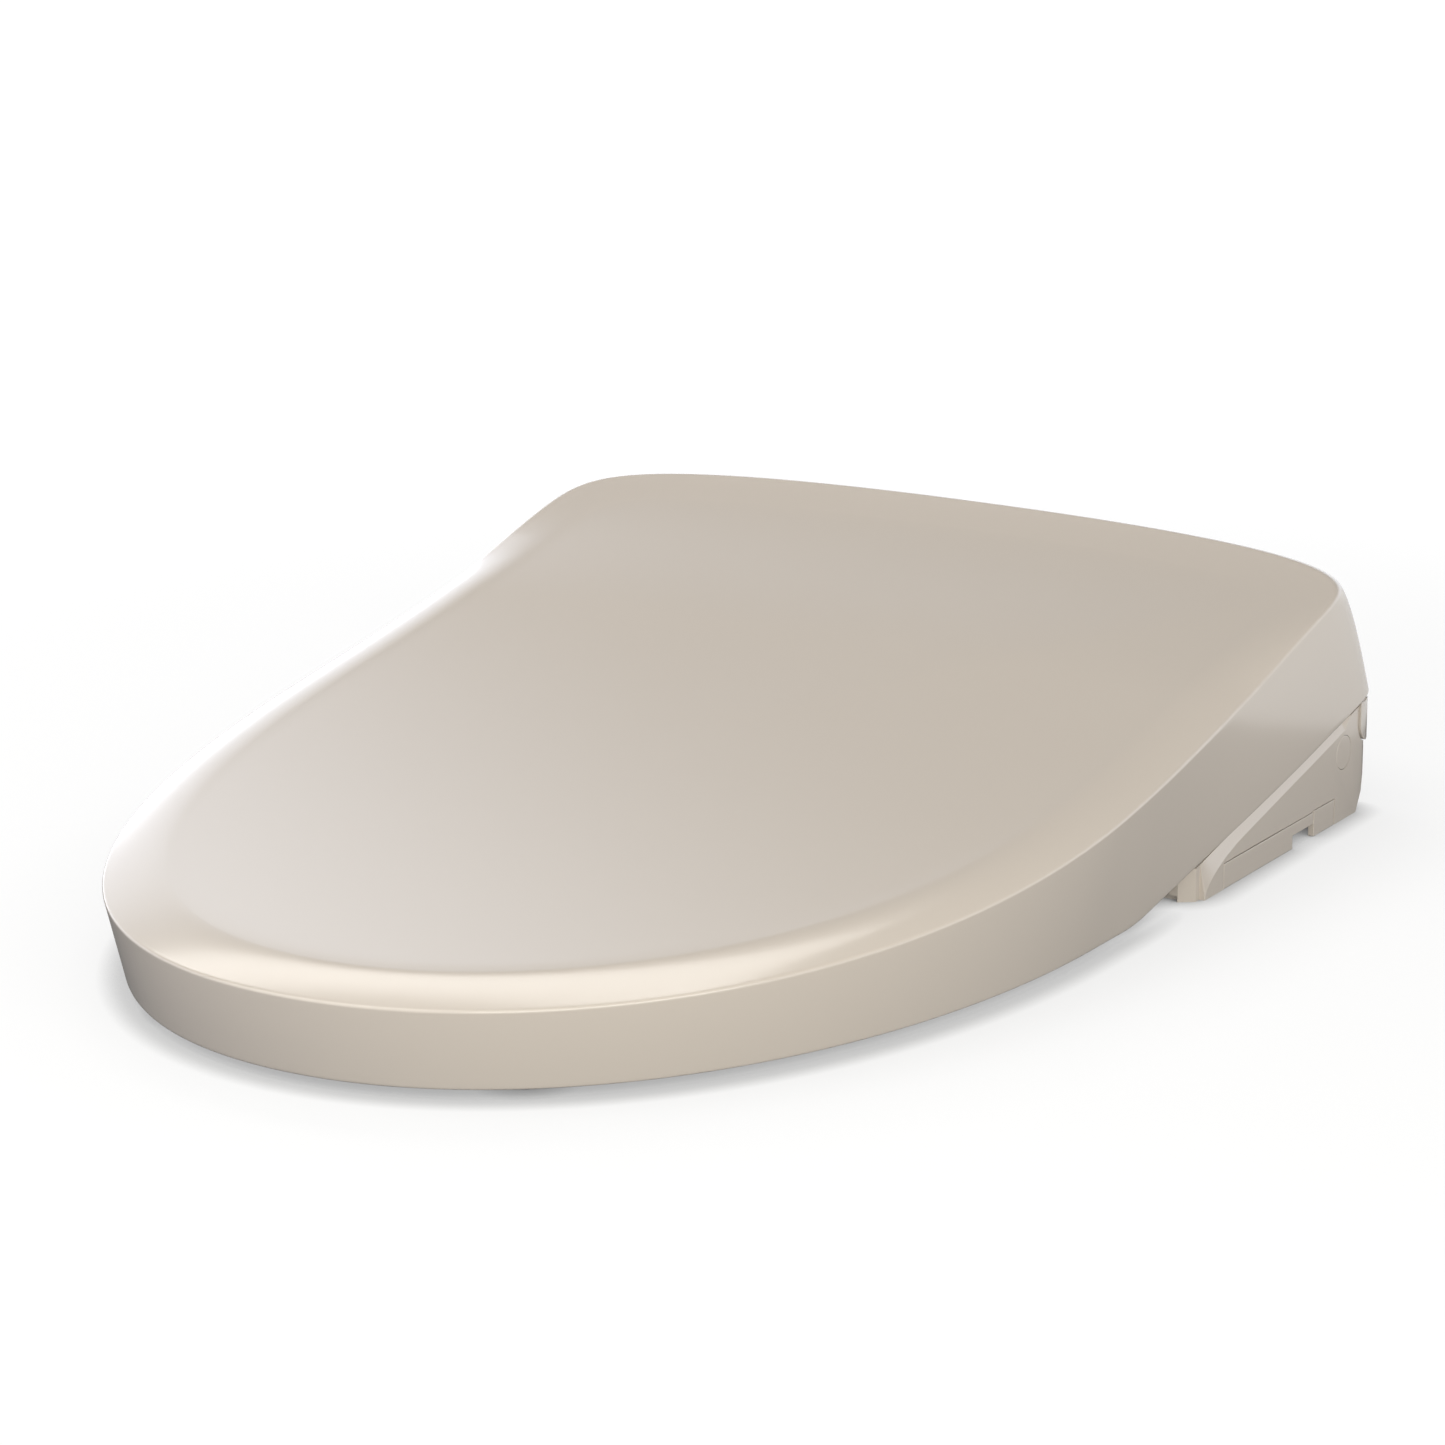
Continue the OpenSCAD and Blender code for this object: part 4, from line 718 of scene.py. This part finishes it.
def made_at(name, tree, sizes, inward=False):
    """Puts a tree's part in each separate body of a CAD node. sizes gives the tree's inputs from
    a body's diameter and length."""
    kinds = {}
    for low, high in islands(name):
        start, facing, across, length = lie_of(low, high, inward)
        kinds.setdefault((across, length), []).append((start, facing))
    whole = bmesh.new()
    for (across, length), places in kinds.items():
        points = bpy.data.meshes.new(name + "_places")
        points.from_pydata([start[:] for start, _ in places], [], [])
        points.attributes.new("facing", "FLOAT_VECTOR", "POINT")
        points.attributes["facing"].data.foreach_set(
            "vector", [c for _, facing in places for c in facing])
        part = grown(name + "_part", tree, points, **sizes(across, length))
        whole.from_mesh(part.data)
        materials = list(part.data.materials)
        bpy.data.objects.remove(part)
    mesh = bpy.data.meshes.new(name + "_made")
    whole.to_mesh(mesh)
    whole.free()
    for material in materials:
        mesh.materials.append(material)
    piece = faced_outward(add_object(name + "_made", mesh), sharp=35)
    return stands_for(inside_box(piece, name), name)


# ---- Finishes ----

def colour(r, g, b):
    """A colour from 0-255 display values."""
    return tuple(c / 12.92 if c <= 0.04045 else ((c + 0.055) / 1.055) ** 2.4
                 for c in (r / 255, g / 255, b / 255)) + (1.0,)


def noise(tree, where, scale, detail=2.0, rough=0.5):
    return node(tree, "ShaderNodeTexNoise", ("Vector", where), ("Scale", scale),
                ("Detail", detail), ("Roughness", rough), out="Fac")


def shade_by(tree, base, factor):
    """base times a factor."""
    new = tree.nodes.new("ShaderNodeVectorMath")
    new.operation = "SCALE"
    put(tree, new.inputs[0], base[:3] if isinstance(base, tuple) else base)
    put(tree, new.inputs["Scale"], factor)
    return Field(tree, new.outputs[0])


def moulded_group():
    """Moulded plastic: slight drift of tone, faint handling marks and fine grain."""
    tree, v, out = new_tree("moulded_surface", SHADER, [
        ("Colour", C, (0.8, 0.8, 0.8, 1.0)), ("Roughness", F, 0.3), ("Drift", F, 0.03),
        ("Marks", F, 0.04), ("Grain size", F, 1400.0), ("Grain", F, 0.1)],
        [("Colour", C), ("Roughness", F), ("Height", F)])
    where = node(tree, "ShaderNodeTexCoord", out="Object")
    drift = noise(tree, where, 7.0, 3.0)
    marks = noise(tree, where, 46.0, 5.0, 0.62)
    grain = noise(tree, where, v["Grain size"], 2.0)
    put(tree, out.inputs["Colour"], shade_by(tree, v["Colour"], 1.0 + v["Drift"] * (drift - 0.5)))
    put(tree, out.inputs["Roughness"], clamp(v["Roughness"] + v["Marks"] * (marks - 0.5)))
    put(tree, out.inputs["Height"], grain * v["Grain"])
    return tree


def worked_group():
    """Worked metal: fine lines one way, with a spread of roughness and a faint tarnish."""
    tree, v, out = new_tree("worked_metal", SHADER, [
        ("Colour", C, (0.6, 0.6, 0.6, 1.0)), ("Tarnish", C, (0.3, 0.25, 0.2, 1.0)),
        ("Roughness", F, 0.3), ("Spread", F, 0.2), ("Stretch", V, (40.0, 900.0, 900.0)),
        ("Worn", F, 0.2)], [("Colour", C), ("Roughness", F), ("Height", F)])
    where = node(tree, "ShaderNodeTexCoord", out="Object")
    pulled = node(tree, "ShaderNodeVectorMath", where, v["Stretch"], operation="MULTIPLY")
    lines = noise(tree, pulled, 1.0, 3.0, 0.6)
    patches = noise(tree, where, 90.0, 4.0, 0.6)
    stain = clamp((patches - 0.55) * 5.0) * v["Worn"]
    blend = node(tree, "ShaderNodeMix", data_type="RGBA", out=None)
    put(tree, blend.inputs["Factor"], stain)
    put(tree, blend.inputs[6], v["Colour"])
    put(tree, blend.inputs[7], v["Tarnish"])
    put(tree, out.inputs["Colour"], blend.outputs[2])
    put(tree, out.inputs["Roughness"], clamp(v["Roughness"] + v["Spread"] * (lines - 0.5)
                                             + stain * 0.3))
    put(tree, out.inputs["Height"], lines)
    return tree


moulded, worked = moulded_group(), worked_group()


def surface(name, **settings):
    """A new material with these Principled inputs. Returns it, its tree and that shader."""
    material = bpy.data.materials.new(name)
    material.use_nodes = True
    tree = material.node_tree
    shader = tree.nodes["Principled BSDF"]
    for key, value in settings.items():
        shader.inputs[key.replace("_", " ")].default_value = value
    material.diffuse_color = settings.get("Base_Color", (0.6, 0.6, 0.6, 1.0))
    return material, tree, shader


def bumped(tree, shader, height, depth, strength=0.2):
    normal = node(tree, "ShaderNodeBump", ("Strength", strength), ("Distance", depth),
                  ("Height", height))
    put(tree, shader.inputs["Normal"], normal)


def plastic(name, base, roughness, drift=0.03, marks=0.05, grain_size=1400.0, depth=0.00003,
            **settings):
    material, tree, shader = surface(name, Roughness=roughness, **settings)
    look = use(tree, moulded, "ShaderNodeGroup", colour=base, roughness=roughness, drift=drift,
               marks=marks, grain_size=grain_size, grain=1.0)
    put(tree, shader.inputs["Base Color"], look.outputs["Colour"])
    put(tree, shader.inputs["Roughness"], look.outputs["Roughness"])
    bumped(tree, shader, look.outputs["Height"], depth)
    return material


def metal(name, base, tarnish, roughness, worn=0.2, **settings):
    material, tree, shader = surface(name, Metallic=1.0, Roughness=roughness, **settings)
    look = use(tree, worked, "ShaderNodeGroup", colour=base, tarnish=tarnish,
               roughness=roughness, worn=worn)
    put(tree, shader.inputs["Base Color"], look.outputs["Colour"])
    put(tree, shader.inputs["Roughness"], look.outputs["Roughness"])
    bumped(tree, shader, look.outputs["Height"], 0.00004, 0.15)
    return material


def circuit_board():
    """Green board with paler copper tracks under its lacquer."""
    material, tree, shader = surface("board", Roughness=0.35, Coat_Weight=0.4,
                                     Coat_Roughness=0.15)
    where = node(tree, "ShaderNodeTexCoord", out="Object")
    tracks = node(tree, "ShaderNodeTexVoronoi", ("Vector", where), ("Scale", 240.0),
                  distance="CHEBYCHEV", feature="F1", out="Distance")
    line_mask = clamp(1.0 - ((tracks * 9.0) % 1.0 - 0.5).op("ABSOLUTE") * 9.0)
    blend = node(tree, "ShaderNodeMix", data_type="RGBA", out=None)
    put(tree, blend.inputs["Factor"], line_mask * 0.6)
    put(tree, blend.inputs[6], colour(38, 92, 58))
    put(tree, blend.inputs[7], colour(96, 140, 92))
    put(tree, shader.inputs["Base Color"], blend.outputs[2])
    return material


def carbon_filter():
    """Black activated carbon in open cells."""
    material, tree, shader = surface("carbon", Roughness=0.85)
    where = node(tree, "ShaderNodeTexCoord", out="Object")
    grains = node(tree, "ShaderNodeTexVoronoi", ("Vector", where), ("Scale", 900.0),
                  out="Distance")
    put(tree, shader.inputs["Base Color"], shade_by(tree, colour(62, 62, 64),
                                                    0.5 + grains * 0.9))
    bumped(tree, shader, grains, 0.0006, 0.6)
    return material


def heater_wire():
    """Copper conductor laid in close passes over a pale backing."""
    material, tree, shader = surface("heater_wire", Roughness=0.4)
    where = node(tree, "ShaderNodeTexCoord", out="Object")
    wave = node(tree, "ShaderNodeTexWave", ("Vector", where), ("Scale", 70.0),
                ("Distortion", 1.5), ("Detail", 1.0), out="Fac")
    wire = clamp((wave - 0.55) * 6.0)
    blend = node(tree, "ShaderNodeMix", data_type="RGBA", out=None)
    put(tree, blend.inputs["Factor"], wire)
    put(tree, blend.inputs[6], colour(214, 200, 172))
    put(tree, blend.inputs[7], colour(201, 132, 84))
    put(tree, shader.inputs["Base Color"], blend.outputs[2])
    put(tree, shader.inputs["Metallic"], wire * 0.8)
    return material


SHELL_COLOUR = colour(205, 195, 184)
FINISH = {
    "shell": plastic("shell", SHELL_COLOUR, 0.20, drift=0.02, marks=0.03, depth=0.00001,
                     Coat_Weight=0.3, Coat_Roughness=0.12),
    "inner_plastic": plastic("inner_plastic", colour(198, 189, 178), 0.48, depth=0.00005,
                             grain_size=1100.0),
    "dark_plastic": plastic("dark_plastic", colour(84, 85, 89), 0.5, depth=0.00006,
                            grain_size=1000.0),
    "white_plastic": plastic("white_plastic", colour(232, 232, 230), 0.28, Coat_Weight=0.2),
    "button_plastic": plastic("button_plastic", colour(196, 187, 177), 0.36),
    "lens": plastic("lens", colour(40, 43, 48), 0.12, Coat_Weight=0.8, Coat_Roughness=0.03),
    "rubber_light": plastic("rubber_light", colour(226, 221, 213), 0.62, marks=0.1,
                            depth=0.00008, grain_size=800.0),
    "rubber_dark": plastic("rubber_dark", colour(62, 62, 64), 0.75, marks=0.1, depth=0.0001,
                           grain_size=800.0),
    "steel": metal("steel", colour(188, 190, 194), colour(120, 112, 102), 0.26, worn=0.15),
    "brass": metal("brass", colour(206, 168, 98), colour(132, 92, 52), 0.28, worn=0.4),
    "heater_wire": heater_wire(),
    "board": circuit_board(),
    "carbon": carbon_filter(),
}


# ---- Pieces ----

shell, inner = FINISH["shell"], FINISH["inner_plastic"]
for node_name, name, tree, sharp in (
        ("lid_shell", "lid_skin", lid_tree(shell), 50),
        ("seat_top", "seat_skin", seat_tree("seat_shell", shell, seat_shell_spans), 50),
        ("seat_bottom", "seat_plate", seat_tree("seat_plate", inner, seat_plate_spans), 40)):
    skin = faced_outward(grown(name, tree), sharp)
    stands_for(inside_box(skin, node_name), node_name)

# The curved side covers keep their fine facets, and their arris stays crisp
for name in ("side_cover_left", "side_cover_right"):
    softened(name, 0.3 * MM, shell, limit=55.0, flat=0.03, crease=14.0)

# How wide each other piece's edges are softened, mm
SOFTENED = {"side_strip_left": 0.35, "filter_drawer": 0.3, "release_button": 0.3,
            "screw_caps": 0.25, "lid_lug_left": 0.4, "lid_lug_right": 0.4, "case_cover": 0.8,
            "base_tray": 0.3, "seat_arm_left": 1.0, "seat_arm_right": 1.0,
            "mounting_bracket": 0.5, "cord_gland": 0.4, "stop_button": 0.5,
            "rear_wash_button": 0.5, "front_wash_button": 0.5, "indicator_lens": 0.2,
            "dryer_flap": 0.2}
for name, width in SOFTENED.items():
    softened(name, width * MM, FINISH[SLOT[name]])

LONG_SCREW = 10 * MM                # side screws over this length have the thinner shank
screw = screw_tree(FINISH["steel"])
for name, shank, head_height in (("case_screws", 1.6, 2.1), ("arm_screws", 2.0, 2.2)):
    made_at(name, screw, lambda across, length: {
        "Radius": shank * MM, "Head radius": across / 2, "Head height": head_height * MM,
        "Length": length}, inward=True)
made_at("side_screws", screw, lambda across, length: {
    "Radius": (1.4 if length > LONG_SCREW else 1.6) * MM, "Head radius": across / 2,
    "Head height": (1.3 if length > LONG_SCREW else 1.5) * MM, "Length": length,
    "Slot": 0.8 * MM}, inward=True)

pad = pad_tree(FINISH["rubber_light"])
made_at("seat_bumpers", pad, lambda across, length: {
    "Radius": across / 2, "Height": length, "Neck radius": 7.5 * MM, "Neck height": 2 * MM,
    "Edge": 1.6 * MM})
made_at("lid_bumpers", pad, lambda across, length: {
    "Radius": across / 2, "Height": length, "Neck radius": across / 2, "Edge": 1.2 * MM})
made_at("base_feet", pad_tree(FINISH["rubber_dark"]), lambda across, length: {
    "Radius": across / 2, "Height": length, "Neck radius": across / 2, "Edge": 0.5 * MM,
    "Dimple": 0.3 * MM})

made_at("water_inlet", inlet_tree(FINISH["brass"]), lambda across, length: {
    "Radius": across / 2, "Spigot radius": across / 2 - 2 * MM, "Length": length})

wheel = wheel_tree(FINISH["dark_plastic"])
made_at("deodorizer_fan", wheel, lambda across, length: {
    "Radius": across / 2, "Axle length": length})
made_at("dryer_impeller", wheel, lambda across, length: {
    "Radius": across / 2, "Hub radius": 6 * MM, "Height": length - 13 * MM,
    "Axle radius": 1.5 * MM, "Axle length": length, "Blades": 13})

# Every piece that nothing takes the place of keeps its CAD shape, and its slot's finish
for name, part in frame["nodes"].items():
    part.data.materials.clear()
    part.data.materials.append(FINISH[SLOT[name]])


# ---- Stage ----

CENTRE = (0.0, -0.2, 0.0)           # middle of the object's place and of the painted shade under it that reflections see
PAINTED_SHADE_RADIUS = 0.40                         # radius of the painted shade that reflections see under the object
PAINTED_SHADE_GLOW, GROUND_GLOW, FAR_GLOW = 0.13, 0.80, 0.20     # glow that reflections see, from the middle: painted shade, ground, far ground
GROUND_HALF = 30.0
BAND_LEVEL, BAND_TINT = 1.45, (0.95, 0.99, 1.08)    # the bright band above the horizon
PATCH_LEVEL = 1.8                   # added to it behind the object and to its left
LAMP_AIM = (0.0, -0.2, 0.03)


def reach_from_centre(tree):
    where = node(tree, "ShaderNodeTexCoord", out="Object")
    away = node(tree, "ShaderNodeVectorMath", where, CENTRE, operation="SUBTRACT")
    return node(tree, "ShaderNodeVectorMath", away, operation="LENGTH", out="Value")


def occlusion(tree, distance):
    return node(tree, "ShaderNodeAmbientOcclusion", ("Distance", distance), samples=8,
                out="AO")


def floor_material():
    """White ground. The camera sees a glow with a painted shadow, mixed near the object with the
    lit ground and its real shadow. Reflections and bounced light see only a glow: painted shade
    on a dark patch round the object, and brighter ground beyond."""
    material, tree, shader = surface("ground", Base_Color=(0.9, 0.9, 0.9, 1.0), Roughness=0.9,
                                     Specular_IOR_Level=0.0)
    seen = node(tree, "ShaderNodeLightPath", out="Is Camera Ray")
    reach = reach_from_centre(tree)
    # Painted shadow from occlusion on the camera's glow: dark and narrow where the object stands,
    # wide and faint round it
    painted_contact_shadow = occlusion(tree, 12 * MM) * mix(0.84, 1.0, occlusion(tree, 80 * MM))
    painted_shadow_glow = node(tree, "ShaderNodeEmission", ("Strength", painted_contact_shadow * 1.03), out=None)
    # Painted shade for reflections and bounced light: the glow is dark within the radius round the
    # object, brighter beyond, and brighter still far off
    glow = (mix(PAINTED_SHADE_GLOW, GROUND_GLOW, ramp(reach, PAINTED_SHADE_RADIUS, PAINTED_SHADE_RADIUS + 0.02))
            + FAR_GLOW * ramp(reach, 0.7, 1.2))
    painted_shade = node(tree, "ShaderNodeEmission", ("Strength", glow), out=None)
    # Near the object a fifth of what the camera sees is the lit ground with its real shadow, the
    # rest the glow with the painted shadow; far off only the glow
    lit_and_painted_ground = tree.nodes.new("ShaderNodeMixShader")
    put(tree, lit_and_painted_ground.inputs[0], mix(0.80, 1.0, ramp(reach, 0.45, 0.85)))
    tree.links.new(shader.outputs[0], lit_and_painted_ground.inputs[1])
    tree.links.new(painted_shadow_glow.outputs[0], lit_and_painted_ground.inputs[2])
    blend = tree.nodes.new("ShaderNodeMixShader")
    put(tree, blend.inputs[0], seen)
    tree.links.new(painted_shade.outputs[0], blend.inputs[1])
    tree.links.new(lit_and_painted_ground.outputs[0], blend.inputs[2])
    tree.links.new(blend.outputs[0], tree.nodes["Material Output"].inputs[0])
    return material


def world():
    """White behind the object for the camera. As light, a bright band above the horizon that
    fades to a dark room overhead."""
    sky = bpy.data.worlds.new("room")
    sky.use_nodes = True
    bpy.context.scene.world = sky
    tree = sky.node_tree
    back = tree.nodes["Background"]
    seen = node(tree, "ShaderNodeLightPath", out="Is Camera Ray")
    direction = node(tree, "ShaderNodeTexCoord", out="Generated")
    split = tree.nodes.new("ShaderNodeSeparateXYZ")
    put(tree, split.inputs[0], direction)
    height = Field(tree, split.outputs["Z"]).op("ARCSINE") * (180 / math.pi)
    x, y = (Field(tree, split.outputs[k]) for k in "XY")
    bearing = math.radians(40.0)
    left_and_rear = y * math.sin(bearing) - x * math.cos(bearing)
    patch = ramp(left_and_rear, 0.93, 0.98) * ramp(height, 14.0, 4.0)
    level = mix(BAND_LEVEL, 0.0, ramp(height, 17.0, 33.0)) + patch * PATCH_LEVEL
    light = node(tree, "ShaderNodeCombineColor", *(level * part for part in BAND_TINT))
    blend = node(tree, "ShaderNodeMix", data_type="RGBA", out=None)
    put(tree, blend.inputs["Factor"], seen)
    put(tree, blend.inputs[6], light)
    put(tree, blend.inputs[7], (1.0, 1.0, 1.0, 1.0))
    put(tree, back.inputs["Color"], blend.outputs[2])


def lamp(name, place, aim, size, power, tint):
    """A rectangular soft lamp at place, facing aim."""
    light = bpy.data.lights.new(name, "AREA")
    light.shape = "RECTANGLE"
    light.size, light.size_y = size
    light.energy = power
    light.color = tint
    holder = bpy.data.objects.new(name, light)
    place, aim = Vector(place), Vector(aim)
    holder.matrix_world = (Matrix.Translation(place)
                           @ (aim - place).to_track_quat("-Z", "Y").to_matrix().to_4x4())
    bpy.context.scene.collection.objects.link(holder)


def ground():
    mesh = bpy.data.meshes.new("ground")
    half = GROUND_HALF
    mesh.from_pydata([(-half, -half, 0), (half, -half, 0), (half, half, 0), (-half, half, 0)],
                     [], [(0, 1, 2, 3)])
    mesh.materials.append(floor_material())
    piece = add_object("ground", mesh)


def camera():
    """A long lens, from the front right and a little above."""
    view = bpy.data.cameras.new("view")
    view.lens, view.sensor_width = 126.97, 36.0
    view.clip_end = 100.0
    holder = bpy.data.objects.new("view", view)
    bearing, climb, distance = math.radians(31.2011), math.radians(15.6166), 1.9764
    aim = Vector((0.01978, -0.20302, 0.07060))
    right = Vector((math.cos(bearing), math.sin(bearing), 0.0))
    back = Vector((math.sin(bearing) * math.cos(climb), -math.cos(bearing) * math.cos(climb),
                   math.sin(climb)))
    turn = Matrix((right, back.cross(right), back)).transposed().to_4x4()
    holder.matrix_world = Matrix.Translation(aim + back * distance) @ turn
    bpy.context.scene.collection.objects.link(holder)
    bpy.context.scene.camera = holder


ground()
world()
camera()
lamp("strip", place=(-0.72, 0.33, 1.0), aim=(-0.72, 0.33, 0.0), size=(1.35, 0.34), power=5.0,
     tint=(1.0, 0.98, 0.94))
lamp("front_left", place=(-0.37, -0.85, 1.09), aim=LAMP_AIM, size=(1.3, 1.3), power=10.8,
     tint=(1.0, 0.99, 0.96))
lamp("front_right", place=(0.97, -1.03, 0.46), aim=LAMP_AIM, size=(1.3, 0.8), power=10.6,
     tint=(1.0, 0.97, 0.85))
bpy.context.scene.view_settings.view_transform = "Standard"

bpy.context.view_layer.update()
